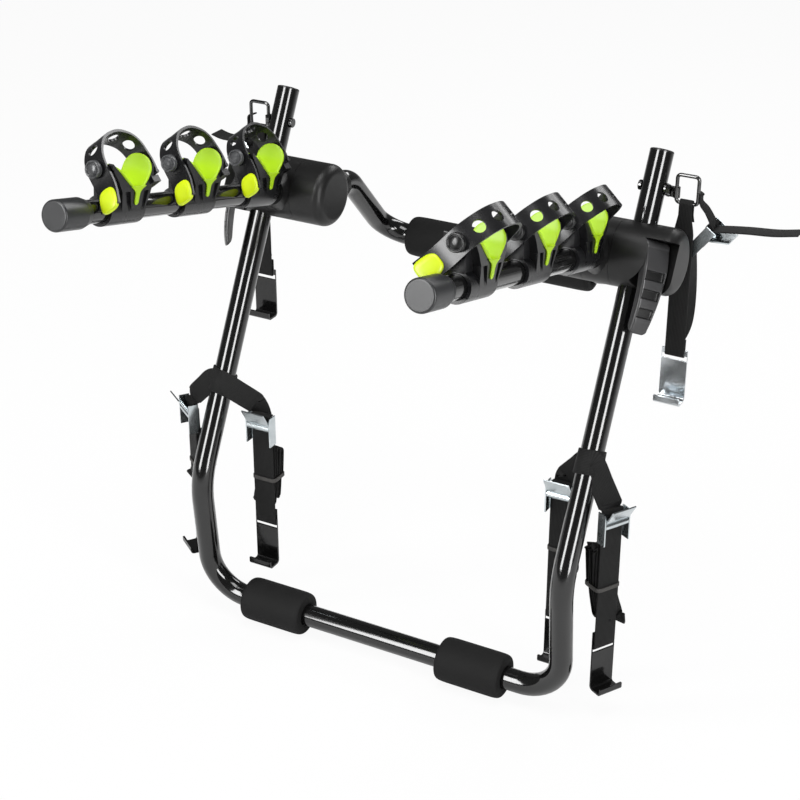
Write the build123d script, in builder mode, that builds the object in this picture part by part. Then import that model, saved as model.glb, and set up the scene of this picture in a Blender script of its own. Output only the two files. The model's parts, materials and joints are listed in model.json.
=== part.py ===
from build123d import *
from math import cos, radians, sin, tan
import os

# Trunk mounted bicycle rack with three frame cradles on each of two folding arms.
# Millimetres. +X is the rack's left-to-right width, +Y points to the car, +Z up.
# The origin is the middle of the bottom bar's axis. The right half is modelled and
# the left half is its mirror image, apart from the straps that hang differently.

# main frame: two bent tubes joined by a spigot in the bottom bar
tube_d = 28.0
tube_wall = 1.6
leg_half = 250.0
lower_leg = 165.4
lower_lean = 5.1
upper_leg = 506.9
upper_lean = 27.4
bend_radius = 100.0
corner_radius = 54.0
joint_x = -52.0
spigot_length = 62.0
slide_gap = 0.15
plug_rim = 2.5
plug_depth = 16.0

# hub, on the upper leg
hub_from_top = 120.5
barrel_r = 39.0
barrel_over = 51.0
barrel_round = 12.0
section_gap = 0.4
pivot_r = 5.0
pivot_head_r = 8.5
pivot_head = 6.0
pivot_cover = 9.0
pin_gap = 0.08
drill_gap = 0.25

# folding arms
arm_leg_gap = 7.2
arm_rise = 14.3
arm_tube_r = 13.0
arm_tube_wall = 1.5
arm_length = 471.0
arm_inset = 20.0
arm_section = 17.2
neck_tip = 52.0
neck_wall = 4.0
neck_height = 37.0
cap_r = 17.0
cap_length = 38.0
cap_taper = 10.0
cap_end = 5.0
cap_round = 2.5

# upper frame that rests on the lid or rear window
upper_run = 42.0
upper_drop = 105.0
upper_reach = 100.0
upper_bend = 44.0
upper_corner = 40.0
upper_inset = 24.0
sleeve_r = 18.5
sleeve_gap = 3.5
sleeve_end = 47.0

# foam pads
pad_r = 28.0
pad_gap = 0.3
pad_round = 7.0
lower_pad_length = 86.0
left_pad_beside = 4.0
right_pad_beside = 20.0
upper_pad_r = 26.5
upper_pad_length = 93.0
upper_pad_beside = 1.0

# quick release levers
lever_turn = 37.0
lever_n = 29.0
lever_v = 10.0
lever_knuckle = 9.0
lever_half = 16.5
lever_tip_half = 11.0
lever_length = 98.0
bow_share = 0.36
end_share = 0.93
half_share = 0.5
shoulder_share = 0.25
lever_face = 15.0
lever_back = 5.0
lever_gap = 0.6
lever_pin_r = 2.5
lever_pin_half = 20.0
pocket_floor = 11.0
pocket_depth = 74.0

# bicycle frame cradles
cradle_count = 3
cradle_first = 139.0
peg_inset = 60.0
peg_up = 44.5
peg_side = 1.0
ring_r = 17.0
ring_gap = 0.3
ring_front = 15.0
ring_length = 60.0
cradle_half = 17.0
liner = 2.4
liner_gap = 0.15
liner_side = 1.8
post_half = 8.0
cradle_reach = 82.0
cradle_rise = 51.0
loop_over = 8.0
loop_under = 12.0
corridor_gap = 1.0
fork_round = 1.2
strap_lean = 40.0
strap_width = 27.0
strap_thick = 3.0
peg_r = 5.6
peg_head_r = 9.0
peg_head = 5.0
peg_hole_r = 6.8
hole_pitch = 24.0
bead_r = 2.6
lug_drop = 6.8
lug_long = 13.0
lug_high = 7.8
hole_count = 5

# webbing, hooks and cam buckles
web_width = 30.0
strap_names = ("side_strap_left", "lower_strap_left", "side_strap_right", "lower_strap_right")
strap_sides = (-1, -1, 1, 1)
strap_beside = (39.0, -60.0, 38.0, -36.0)
strap_behind = (28.0, 40.0, 34.0, 62.0)
buckle_height = (233.0, 232.0, 231.0, 232.0)
strap_yaw = (-36.0, 0.0, 60.0, 0.0)
bundle_top = (205.0, 203.0, 203.0, 203.0)
bundle_foot = (122.0, 118.0, 92.0, 118.0)
hook_height = (92.0, 92.0, 62.0, 60.0)
web_thick = 1.8
web_pitch = 4.4
hook_width = 32.0
hook_thick = 2.5
hook_drop = 56.0
hook_reach = 19.0
hook_lip = 9.0
hook_bend = 5.0
slot_height = 5.0
slot_bar = 7.0
buckle_width = 36.0
buckle_length = 40.0
buckle_sheet = 1.6
buckle_pin_r = 2.0
cam_length = 30.0
cam_r = 4.6
cam_gap = 0.4
anchor_bolt_r = 3.0
anchor_head_r = 6.0
anchor_head = 4.0
anchor_v = 80.0
ring_wire = 2.2
ring_height = 33.0
ring_depth = 26.0
ring_rise = 5.0
band_left = 130.0
band_right = 144.5
band_height = 14.0
band_apart = 14.8
tab_length = 2.7

floor_share = 0.6
cam_share = 0.1
bar_share = 0.42
root_share = 0.28
cam_tilt = 32.0
sewn_length = 22.0
fold_count = 4
web_turn = 0.1
tie_gap = 0.35
tie_height = 14.0
eye_sheet = 2.0
eye_gap = 10.5
eye_back = 10.0
eye_sleeve = 12.0
top_hook_right = 372.0
top_hook_left = 360.0
top_tail_right = 95.0
top_tail_left = 45.0
top_web_width = 24.0
top_loop_width = 16.0
top_neck_width = 8.8
top_buckle_out = 16.0
top_buckle_back = 17.0
top_buckle_drop = 41.0
top_slant = 37.0
top_tilt = 50.0
ply_out = 12.0
ply_back = 8.0
ply_low = 26.0
tail_bend = 12.0
tail_over = 16.0
tail_slant = 45.0
lip_share = 0.18
exit_tilt = 36.0
lip_bend = 5.0
bow_low = 6.0
bow_height = 12.0

overrun = 60.0

os.makedirs("parts", exist_ok=True)


def save(piece, name):
    """Label one finished piece and write it as its own file."""
    piece.label = name
    export_step(piece, f"parts/{name}.step")


def mirrored(piece):
    return mirror(piece, about=Plane.YZ)


# places worked out from the sizes above
tube_r = tube_d / 2
barrel_outer_x = leg_half + barrel_over
arm_x = leg_half - tube_r - arm_leg_gap - arm_section
upper_half = arm_x - arm_section - section_gap - sleeve_gap - sleeve_r
barrel_inner_x = upper_half - sleeve_r - sleeve_gap
peg_along = arm_length - peg_inset
cradle_pitch = (peg_along - cradle_first) / (cradle_count - 1)
bend_y = -lower_leg * sin(radians(lower_lean))
bend_z = lower_leg * cos(radians(lower_lean))
leg_up = Vector(0, sin(radians(upper_lean)), cos(radians(upper_lean)))
leg_front = Vector(0, -cos(radians(upper_lean)), sin(radians(upper_lean)))
bend_point = Vector(0, bend_y, bend_z)
top_point = bend_point + leg_up * upper_leg
hub = top_point - leg_up * hub_from_top
arm_dir = Vector(0, -cos(radians(arm_rise)), sin(radians(arm_rise)))
arm_up = Vector(0, sin(radians(arm_rise)), cos(radians(arm_rise)))
across = Vector(1, 0, 0)
up = Vector(0, 0, 1)


def hub_at(x):
    return hub + across * x


def path_tube(points, radii, r_out, r_in, cross_holes=()):
    """A bent round tube along straight runs joined by arcs."""
    with BuildPart() as tube:
        with BuildLine() as line:
            FilletPolyline(*points, radius=radii)
        with BuildSketch(Plane(origin=line.line @ 0, z_dir=line.line % 0)):
            Circle(r_out)
            Circle(r_in, mode=Mode.SUBTRACT)
        sweep()
        for place, direction, radius in cross_holes:
            with BuildSketch(Plane(origin=place, z_dir=direction)):
                Circle(radius)
            extrude(amount=tube_d, both=True, mode=Mode.SUBTRACT)
    return tube.part


anchor_point = hub + leg_up * anchor_v
leg_holes = (
    (hub_at(leg_half), across, pivot_r + drill_gap),
    (anchor_point + across * leg_half, across, anchor_bolt_r + drill_gap),
)

# frame halves: the left one is longer and takes the right one's spigot
left_path = [
    Vector(joint_x, 0, 0),
    Vector(-leg_half, 0, 0),
    bend_point - across * leg_half,
    top_point - across * leg_half,
]
right_path = [
    Vector(joint_x, 0, 0),
    Vector(leg_half, 0, 0),
    bend_point + across * leg_half,
    top_point + across * leg_half,
]
left_holes = [(Vector(-p.X, p.Y, p.Z), d, r) for p, d, r in leg_holes]
radii = [corner_radius, bend_radius]
inner_r = tube_r - tube_wall
frame_left = path_tube(left_path, radii, tube_r, inner_r, left_holes)
save(frame_left, "frame_half_left")

with BuildPart() as frame_right:
    add(path_tube(right_path, radii, tube_r, inner_r, leg_holes))
    with BuildSketch(Plane(origin=(joint_x - spigot_length, 0, 0), z_dir=across)):
        Circle(inner_r - slide_gap)
        Circle(inner_r - slide_gap - tube_wall, mode=Mode.SUBTRACT)
    extrude(amount=spigot_length)
    with BuildSketch(Plane(origin=(joint_x, 0, 0), z_dir=across)):
        Circle(tube_r)
        Circle(inner_r - slide_gap - tube_wall, mode=Mode.SUBTRACT)
    extrude(amount=tube_wall)
save(frame_right.part, "frame_half_right")

# plastic plugs in the open tops of the legs
with BuildPart() as plug_right:
    with BuildSketch(Plane(origin=top_point + across * leg_half, z_dir=leg_up)):
        Circle(tube_r)
    extrude(amount=plug_rim)
    fillet(plug_right.edges().sort_by(Axis(top_point, leg_up))[-1], plug_rim / 2)
    with BuildSketch(Plane(origin=top_point + across * leg_half, z_dir=leg_up)):
        Circle(inner_r - slide_gap)
    extrude(amount=-plug_depth)
with BuildPart() as plugs:
    add(plug_right.part)
    add(mirrored(plug_right.part))
save(plugs.part, "leg_top_plugs")


def pad(x_low, x_high, y, z, radius):
    """A foam sleeve along X with rounded end edges."""
    with BuildPart() as foam:
        with BuildSketch(Plane(origin=(x_low, y, z), z_dir=across)):
            Circle(radius)
        extrude(amount=x_high - x_low)
        fillet(foam.edges().filter_by(GeomType.CIRCLE), pad_round)
        with BuildSketch(Plane(origin=(x_low, y, z), z_dir=across)):
            Circle(tube_r + pad_gap)
        extrude(amount=x_high - x_low, mode=Mode.SUBTRACT)
    return foam.part


left_pad_x = corner_radius + left_pad_beside - leg_half
right_pad_x = leg_half - corner_radius - right_pad_beside
save(pad(left_pad_x, left_pad_x + lower_pad_length, 0, 0, pad_r), "lower_pad_left")
save(pad(right_pad_x - lower_pad_length, right_pad_x, 0, 0, pad_r), "lower_pad_right")

# hub sections, all coaxial along X
arm_low = arm_x - arm_section
arm_high = arm_x + arm_section


def barrel(x_low, x_high, round_low, round_high):
    """One turned section of the hub barrel."""
    with BuildPart() as drum:
        with BuildSketch(Plane(origin=hub_at(x_low), z_dir=across)):
            Circle(barrel_r)
        extrude(amount=x_high - x_low)
        ends = drum.edges().filter_by(GeomType.CIRCLE).sort_by(Axis.X)
        if round_low:
            fillet(ends[0], round_low)
        if round_high:
            fillet(ends[-1], round_high)
    return drum.part


def round_bar(origin, direction, radius, amount, both=False):
    """A plain round bar, for pins and for the holes they run in."""
    with BuildPart() as bar:
        with BuildSketch(Plane(origin=origin, z_dir=direction)):
            Circle(radius)
        extrude(amount=amount, both=both)
    return bar.part


upper_axis_z = hub.Z
upper_points_side = (
    (hub.Y + upper_inset, upper_axis_z),
    (hub.Y + upper_inset + upper_run, upper_axis_z),
    (hub.Y + upper_inset + upper_run + upper_reach, upper_axis_z - upper_drop),
)

with BuildPart() as upper_socket:
    add(barrel(barrel_inner_x, arm_low - section_gap, barrel_round, 0))
    with BuildSketch(Plane(origin=hub_at(upper_half), z_dir=(0, 1, 0))):
        Circle(sleeve_r)
    extrude(amount=sleeve_end)
    fillet(upper_socket.edges().filter_by(GeomType.CIRCLE).sort_by(Axis.Y)[-1], plug_rim)
    mouth = hub_at(upper_half) + Vector(0, upper_inset, 0)
    add(round_bar(mouth, (0, 1, 0), tube_r + slide_gap, overrun), mode=Mode.SUBTRACT)
    add(round_bar(hub_at(barrel_inner_x + pivot_cover), across, pivot_r + pin_gap, overrun), mode=Mode.SUBTRACT)
    head_place = hub_at(barrel_inner_x + pivot_cover)
    head_room = round_bar(head_place, across, pivot_head_r + pin_gap, pivot_head + section_gap)
    add(head_room, mode=Mode.SUBTRACT)
save(upper_socket.part, "upper_socket_right")
save(mirrored(upper_socket.part), "upper_socket_left")

upper_half_points = [Vector(upper_half, y, z) for y, z in upper_points_side]
upper_path = [Vector(-p.X, p.Y, p.Z) for p in upper_half_points] + upper_half_points[::-1]
upper_tube = path_tube(
    upper_path, [upper_bend, upper_corner, upper_corner, upper_bend], tube_r, inner_r
)
save(upper_tube, "upper_frame_tube")
upper_y, upper_z = upper_points_side[-1]
upper_pad_out = upper_half - upper_corner - upper_pad_beside
upper_pad_in = upper_pad_out - upper_pad_length
save(pad(upper_pad_in, upper_pad_out, upper_y, upper_z, upper_pad_r), "upper_pad_right")
save(pad(-upper_pad_out, -upper_pad_in, upper_y, upper_z, upper_pad_r), "upper_pad_left")


def arm_plane(along, side=0.0, rise=0.0):
    """The plane square to the right arm at a distance along it from the hub axis."""
    place = hub_at(arm_x + side) + arm_dir * along + arm_up * rise
    return Plane(origin=place, x_dir=across, z_dir=arm_dir)


def side_plane(along=0.0, rise=0.0, side=0.0):
    """The upright plane through the right arm: x runs out along the arm, y is up."""
    place = hub_at(arm_x + side) + arm_dir * along + arm_up * rise
    return Plane(origin=place, x_dir=arm_dir, z_dir=(-1, 0, 0))


with BuildPart() as arm_socket:
    add(barrel(arm_low, arm_high, 0, 0))
    with BuildSketch(arm_plane(0)):
        Ellipse(arm_section, neck_height)
    with BuildSketch(arm_plane(neck_tip)):
        Circle(arm_tube_r + neck_wall)
    loft()
    add(round_bar(arm_plane(arm_inset).origin, arm_dir, arm_tube_r + slide_gap, overrun), mode=Mode.SUBTRACT)
    add(round_bar(hub_at(arm_low), across, pivot_r + pin_gap, overrun), mode=Mode.SUBTRACT)
save(arm_socket.part, "arm_socket_right")
save(mirrored(arm_socket.part), "arm_socket_left")

with BuildPart() as arm_tube:
    with BuildSketch(arm_plane(arm_inset)):
        Circle(arm_tube_r)
        Circle(arm_tube_r - arm_tube_wall, mode=Mode.SUBTRACT)
    extrude(amount=arm_length - cap_end - arm_inset)
save(arm_tube.part, "arm_tube_right")
save(mirrored(arm_tube.part), "arm_tube_left")

# soft end cap, turned about the arm's axis
with BuildPart() as arm_cap:
    with BuildSketch(side_plane()):
        with BuildLine():
            Polyline(
                (arm_length, 0),
                (arm_length, cap_r),
                (arm_length - cap_length, cap_r),
                (arm_length - cap_length - cap_taper, arm_tube_r + cap_round / 2),
                (arm_length - cap_length - cap_taper, arm_tube_r + slide_gap),
                (arm_length - cap_end + slide_gap, arm_tube_r + slide_gap),
                (arm_length - cap_end + slide_gap, 0),
                close=True,
            )
        make_face()
    revolve(axis=Axis(hub_at(arm_x), arm_dir))
    face_edge = arm_cap.edges().filter_by(GeomType.CIRCLE).sort_by(
        Axis(hub_at(arm_x), arm_dir)
    )[-1]
    fillet(face_edge, cap_round)
save(arm_cap.part, "arm_cap_right")
save(mirrored(arm_cap.part), "arm_cap_left")

# quick release lever: n points out of its face, w across it, v up the leg
turn = radians(lever_turn)
lever_out = across * cos(turn) + leg_front * sin(turn)
lever_across = leg_front * cos(turn) - across * sin(turn)
leg_hub = hub_at(leg_half)
lever_pivot = leg_hub + lever_out * lever_n + leg_up * lever_v


def lever_plane(shift=0.0):
    """Profile plane of the lever: x out of its face, y up the leg."""
    return Plane(origin=lever_pivot + lever_across * shift, x_dir=lever_out, z_dir=lever_out.cross(leg_up))


front_plane = Plane(origin=lever_pivot, x_dir=lever_across, z_dir=lever_across.cross(leg_up))
lever_tip = -lever_length
with BuildPart() as lever_right:
    with BuildSketch(lever_plane()):
        with BuildLine():
            Spline(
                (lever_knuckle, 0),
                (lever_face, lever_tip * bow_share),
                (lever_back, lever_tip),
                tangents=[(0, -1), (-1, -0.6)],
            )
            Line((lever_back, lever_tip), (0, lever_tip * end_share))
            Line((0, lever_tip * end_share), (lever_back, lever_tip * half_share))
            Line((lever_back, lever_tip * half_share), (0, 0))
            Line((0, 0), (lever_knuckle, 0))
        make_face()
        Circle(lever_knuckle)
    extrude(amount=lever_half, both=True)
    with BuildSketch(front_plane):
        with BuildLine():
            Polyline(
                (-lever_half, lever_knuckle),
                (lever_half, lever_knuckle),
                (lever_half, lever_tip * shoulder_share),
                (lever_tip_half, lever_tip),
                (-lever_tip_half, lever_tip),
                (-lever_half, lever_tip * shoulder_share),
                close=True,
            )
        make_face()
    extrude(amount=overrun, both=True, mode=Mode.INTERSECT)
    add(round_bar(lever_pivot, lever_across, lever_pin_r + pin_gap, lever_half * 2, both=True), mode=Mode.SUBTRACT)
save(lever_right.part, "clamp_lever_right")
save(mirrored(lever_right.part), "clamp_lever_left")

with BuildPart() as lever_pin:
    with BuildSketch(Plane(origin=lever_pivot, z_dir=lever_across)):
        Circle(lever_pin_r)
    extrude(amount=lever_pin_half, both=True)

# fixed clamp round the leg, with a pocket for the lever
with BuildPart() as clamp_right:
    add(barrel(arm_high + section_gap, barrel_outer_x, 0, barrel_round))
    add(round_bar(leg_hub, leg_up, tube_r + slide_gap, overrun, both=True), mode=Mode.SUBTRACT)
    pivot_room = leg_half - arm_high + tube_r + pivot_head
    add(round_bar(hub_at(arm_high), across, pivot_r + slide_gap, pivot_room), mode=Mode.SUBTRACT)
    with BuildSketch(lever_plane()):
        with Locations((pocket_depth / 2 - pocket_floor, -pocket_depth / 2)):
            Rectangle(pocket_depth, pocket_depth)
        with Locations((pocket_depth / 2, 0)):
            Rectangle(pocket_depth, 2 * (lever_knuckle + lever_gap))
        Circle(lever_knuckle + lever_gap)
    extrude(amount=lever_half + lever_gap, both=True, mode=Mode.SUBTRACT)
    add(round_bar(lever_pivot, lever_across, lever_pin_r, lever_pin_half, both=True), mode=Mode.SUBTRACT)
save(clamp_right.part, "hub_clamp_right")
save(mirrored(clamp_right.part), "hub_clamp_left")

with BuildPart() as pivots:
    with BuildSketch(Plane(origin=hub_at(barrel_inner_x + pivot_cover + section_gap / 2), z_dir=across)):
        Circle(pivot_head_r)
    extrude(amount=pivot_head)
    with BuildSketch(Plane(origin=hub_at(barrel_inner_x + pivot_cover + section_gap / 2), z_dir=across)):
        Circle(pivot_r)
    extrude(amount=leg_half + tube_r + pivot_head / 2 - barrel_inner_x - pivot_cover)
with BuildPart() as all_pins:
    add(pivots.part)
    add(mirrored(pivots.part))
    add(lever_pin.part)
    add(mirrored(lever_pin.part))
save(all_pins.part, "hub_pins")


def soft_radii(points, share=0.45):
    """Each corner's radius: a share of its shorter run over the tangent of half the turn."""
    found = []
    for before, corner, after in zip(points, points[1:], points[2:]):
        run_in = Vector(*corner) - Vector(*before)
        run_out = Vector(*after) - Vector(*corner)
        half_turn = radians(run_in.get_angle(run_out)) / 2
        found.append(share * min(run_in.length, run_out.length) / tan(half_turn))
    return found


def scaled(shares, length, height):
    """Outline points from hand-chosen shares of a length and a height."""
    return [(a * length, b * height) for a, b in shares]


# cradle outlines as shares of its reach behind the peg and its rise over the arm
fork_shares = (
    (-0.40, 0.00),
    (-0.38, 0.42),
    (-0.27, 0.68),
    (-0.13, 0.92),
    (-0.11, 1.06),
    (-0.55, 0.54),
    (-0.68, 0.45),
    (-0.79, 0.47),
    (-0.93, 0.74),
    (-0.97, 0.98),
    (-1.02, 0.98),
    (-1.04, 0.62),
    (-0.98, 0.30),
    (-0.88, 0.00),
)
saddle_shares = ((-0.20, 0.954),) + fork_shares[5:10]
post_shares = ((-0.42, 0.20), (-0.19, 0.20), (-0.15, 0.60), (-0.165, 0.90), (-0.20, 0.88), (-0.30, 0.70))
slot_front_shares = ((-0.43, 0.42), (-0.55, 0.42), (-0.60, 0.02), (-0.53, 0.02))
slot_rear_shares = ((-0.85, 0.42), (-0.95, 0.42), (-0.87, 0.02), (-0.81, 0.02))
tail_shares = ((-0.62, 0.50), (-0.74, 0.50), (-0.71, 0.14), (-0.65, 0.14))
loop_shares = (
    (0.04, -1.20),
    (-0.08, -0.62),
    (-0.09, 0.25),
    (-0.31, 0.82),
    (-0.66, 1.00),
    (-0.955, 0.74),
    (-1.01, 0.00),
    (-0.99, -0.36),
)
keep_shares = (
    (-0.15, -1.60),
    (-0.15, 0.20),
    (-0.24, 0.48),
    (-0.38, 0.68),
    (-0.64, 0.80),
    (-0.86, 0.64),
    (-0.955, 0.10),
    (-0.955, -1.60),
)
loop_reach = cradle_reach + loop_over
loop_rise = cradle_rise - loop_under

lean = radians(strap_lean)
loop_up = across * sin(lean) + arm_up * cos(lean)
loop_across = arm_up * sin(lean) - across * cos(lean)
loop_points = scaled(loop_shares, loop_reach, loop_rise)
root_t, root_l = loop_points[-1]
to_peg = (Vector(*loop_points[1]) - Vector(*loop_points[0])).length - loop_points[1][1]

with BuildSketch() as fork_face:
    with BuildLine():
        Polyline(*scaled(fork_shares, cradle_reach, cradle_rise), close=True)
    make_face()
    fillet(fork_face.vertices(), fork_round)


def cradle(index):
    """One cradle on the right arm: its body with the peg, its liner and its strap."""
    along = peg_along - index * cradle_pitch
    middle = side_plane(along)
    peg_place = hub_at(arm_x + peg_side) + arm_dir * along + arm_up * peg_up
    loop_plane = Plane(origin=peg_place, x_dir=arm_dir, z_dir=loop_across)
    root = loop_plane.from_local_coords(Vector(root_t, root_l, 0))

    with BuildPart() as corridor:
        with BuildSketch(loop_plane):
            Rectangle(6 * overrun, 6 * overrun)
            with BuildLine():
                Polyline(*scaled(keep_shares, loop_reach, loop_rise), close=True)
            make_face(mode=Mode.SUBTRACT)
        extrude(amount=strap_width / 2 + corridor_gap, both=True)

    with BuildPart() as body:
        with BuildSketch(middle):
            add(fork_face.sketch)
        extrude(amount=cradle_half, both=True)
        for outline in (slot_front_shares, slot_rear_shares):
            for side in (-1, 1):
                with BuildSketch(side_plane(along, 0, side * cradle_half)):
                    with BuildLine():
                        Polyline(*scaled(outline, cradle_reach, cradle_rise), close=True)
                    make_face()
                extrude(amount=strap_thick, both=True, mode=Mode.SUBTRACT)
        add(corridor.part, mode=Mode.SUBTRACT)
        with BuildSketch(middle):
            with BuildLine():
                Polyline(*scaled(post_shares, cradle_reach, cradle_rise), close=True)
            make_face()
        extrude(amount=post_half, both=True)
        with BuildSketch(arm_plane(along - ring_front - ring_length)):
            Circle(ring_r)
        extrude(amount=ring_length)
        with BuildSketch(Plane(origin=peg_place - arm_dir * post_half * 2, z_dir=arm_dir)):
            Circle(peg_r)
        extrude(amount=post_half * 2)
        with BuildSketch(Plane(origin=peg_place - arm_dir * peg_head, z_dir=arm_dir)):
            Circle(peg_head_r)
        extrude(amount=peg_head)
        fillet(body.edges().filter_by(GeomType.CIRCLE).sort_by(Axis(peg_place, arm_dir))[-1], peg_head / 4)
        with BuildSketch(loop_plane):
            with Locations((root_t + bead_r, root_l - lug_drop)):
                Rectangle(lug_long, lug_high)
        extrude(amount=strap_width / 3, both=True)
        add(round_bar(root, loop_across, bead_r + ring_gap, strap_width, both=True), mode=Mode.SUBTRACT)
        bore = round_bar(arm_plane(along - cradle_reach).origin, arm_dir, arm_tube_r + ring_gap, 2 * cradle_reach)
        add(bore, mode=Mode.SUBTRACT)

    with BuildPart() as insert:
        saddle = scaled(saddle_shares, cradle_reach, cradle_rise)
        with BuildSketch(middle):
            with BuildLine():
                Polyline(*saddle)
            trace(line_width=2 * liner)
        extrude(amount=cradle_half + liner_side + liner_gap, both=True)
        with BuildSketch(middle):
            add(fork_face.sketch)
            offset(amount=liner_gap)
        extrude(amount=cradle_half + liner_side * 2, both=True, mode=Mode.SUBTRACT)
        for side in (-1, 1):
            with BuildSketch(side_plane(along, 0, side * (cradle_half + liner_gap + liner_side / 2))):
                with BuildLine():
                    Polyline(*scaled(tail_shares, cradle_reach, cradle_rise), close=True)
                make_face()
            extrude(amount=liner_side / 2, both=True)
        add(corridor.part, mode=Mode.SUBTRACT)

    with BuildPart() as strap:
        with BuildLine(loop_plane):
            route = FilletPolyline(*loop_points, radius=soft_radii(loop_points))
        with BuildSketch(loop_plane):
            with BuildLine():
                FilletPolyline(*loop_points, radius=soft_radii(loop_points))
            trace(line_width=strap_thick)
        extrude(amount=strap_width / 2, both=True)
        add(round_bar(root, loop_across, bead_r, strap_width / 2, both=True))
        add(round_bar(peg_place, arm_dir, peg_hole_r, strap_width / 2, both=True), mode=Mode.SUBTRACT)
        for count in range(1, hole_count):
            share = (to_peg + count * hole_pitch) / route.length
            place = route @ share
            outward = loop_across.cross(route % share)
            add(round_bar(place, outward, peg_hole_r, strap_width / 3, both=True), mode=Mode.SUBTRACT)
    return body.part, insert.part, strap.part, root


for index in range(cradle_count):
    cradle_body, cradle_insert, cradle_strap, _ = cradle(index)
    number = index + 1
    for piece, name in (
        (cradle_body, "cradle_body"),
        (cradle_insert, "cradle_liner"),
        (cradle_strap, "cradle_strap"),
    ):
        save(piece, f"{name}_right_{number}")
        save(mirrored(piece), f"{name}_left_{number}")


def block(plane, width, length, low, high, place=(0, 0)):
    """A box on a plane: width and length in the plane, from low to high above it."""
    with BuildPart() as box:
        with BuildSketch(plane.offset(low)):
            with Locations(place):
                Rectangle(width, length)
        extrude(amount=high - low)
    return box.part


def ribbon(plane, points, radius, thick, width):
    """A flat strip: its edge line is drawn on the plane and it is as wide as given."""
    with BuildPart() as strip:
        with BuildSketch(plane):
            with BuildLine():
                FilletPolyline(*points, radius=radius)
            trace(line_width=thick)
        extrude(amount=width / 2, both=True)
    return strip.part


def facing(place, yaw):
    """A hanging strap's plane: x across the webbing, y up, z out of its face."""
    out = Vector(sin(radians(yaw)), -cos(radians(yaw)), 0)
    return Plane(origin=place, x_dir=up.cross(out), z_dir=out)


def edge_on(plane):
    """The same place seen from the strap's edge: x out of the face, y up."""
    return Plane(origin=plane.origin, x_dir=plane.z_dir, z_dir=plane.z_dir.cross(plane.y_dir))


def buckle(plane, tilt=cam_tilt):
    """A cam buckle's frame and its lever. The strap runs up the plane's y axis at z = 0."""
    half = buckle_width / 2
    floor = -web_thick / 2 - cam_gap
    pin_z = web_thick / 2 + cam_gap + cam_r
    with BuildPart() as frame:
        low_length = buckle_length * floor_share
        place = (0, -(buckle_length - low_length) / 2)
        add(block(plane, buckle_width, low_length, floor - buckle_sheet, floor, place))
        for side in (-1, 1):
            spot = (side * (half - buckle_sheet / 2), 0)
            add(block(plane, buckle_sheet, buckle_length, floor - buckle_sheet, pin_z + cam_r, spot))
        for y, z in ((buckle_length * bar_share, 0), (buckle_length * cam_share, pin_z)):
            start = plane.from_local_coords(Vector(-half, y, z))
            add(round_bar(start, plane.x_dir, buckle_pin_r, buckle_width))
    pin_place = plane.from_local_coords(Vector(0, buckle_length * cam_share, pin_z))
    cam_half = half - buckle_sheet - cam_gap
    edge = Plane(origin=pin_place, x_dir=plane.z_dir, z_dir=plane.z_dir.cross(plane.y_dir))
    tip = Vector(cam_length * sin(radians(tilt)), cam_length * cos(radians(tilt)))
    with BuildPart() as cam:
        with BuildSketch(edge):
            with BuildLine():
                Line((0, 0), (tip.X, tip.Y))
            trace(line_width=buckle_sheet)
            Circle(cam_r)
            Circle(buckle_pin_r + pin_gap, mode=Mode.SUBTRACT)
        extrude(amount=cam_half, both=True)
    return frame.part, cam.part, pin_place


def hook(plane):
    """A flat steel hook whose top bar sits in the webbing's sewn loop at the plane's origin."""
    back = -web_pitch / 2
    with BuildPart() as steel:
        line = [
            (back, slot_bar + web_thick),
            (back, -hook_drop),
            (back + hook_reach, -hook_drop),
            (back + hook_reach, -hook_drop + hook_lip),
        ]
        add(ribbon(edge_on(plane), line, hook_bend * 0.8, hook_thick, hook_width))
        with BuildSketch(plane):
            with Locations((0, -slot_height / 2 + web_thick / 2)):
                Rectangle(web_width + web_thick, slot_height + web_thick)
        extrude(amount=web_pitch * 2, both=True, mode=Mode.SUBTRACT)
    return steel.part


def hanging(place, yaw, bundle_top, bundle_low, hook_z):
    """A lower strap: buckle, folded tail, sewn end and hook, all in one upright plane."""
    plane = facing(place, yaw)
    z_here = place.Z
    top = buckle_length * root_share
    low = bundle_low - z_here
    high = bundle_top - z_here
    end = hook_z - z_here
    points = [(-web_pitch, end + sewn_length), (-web_pitch, end), (0, end), (0, top), (-web_pitch, top)]
    for fold in range(fold_count):
        depth = -web_pitch * (fold + 1)
        level = low if fold % 2 == 0 else high
        points.append((depth, level))
        points.append((depth - web_pitch, level))
    points.append((-web_pitch * (fold_count + 1), (low + high) / 2))
    radius = web_pitch / 2 - web_turn
    strip = ribbon(edge_on(plane), points, radius, web_thick, web_width)
    with BuildPart() as tie:
        depth_low = -web_pitch * (fold_count + 1) - web_thick / 2 - tie_gap
        depth_high = web_thick / 2 + tie_gap
        middle = (low + high) / 2 - web_thick
        with BuildSketch(Plane(origin=plane.origin + up * middle, x_dir=plane.x_dir, z_dir=up)):
            with Locations((0, -(depth_low + depth_high) / 2)):
                Rectangle(web_width + 2 * (tie_gap + web_thick), depth_high - depth_low + 2 * web_thick)
                Rectangle(web_width + 2 * tie_gap, depth_high - depth_low, mode=Mode.SUBTRACT)
        extrude(amount=tie_height / 2, both=True)
    return plane, strip, tie.part


def bar_loop(place, direction, wire_r, width):
    """A sewn loop of webbing round a bar."""
    with BuildPart() as loop:
        with BuildSketch(Plane(origin=place, z_dir=direction)):
            Circle(wire_r + cam_gap + web_thick)
            Circle(wire_r + cam_gap, mode=Mode.SUBTRACT)
        extrude(amount=width / 2, both=True)
    return loop.part


def bar_place(plane):
    """The middle of the top bar of a buckle."""
    return plane.from_local_coords(Vector(0, buckle_length * bar_share, 0))


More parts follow.
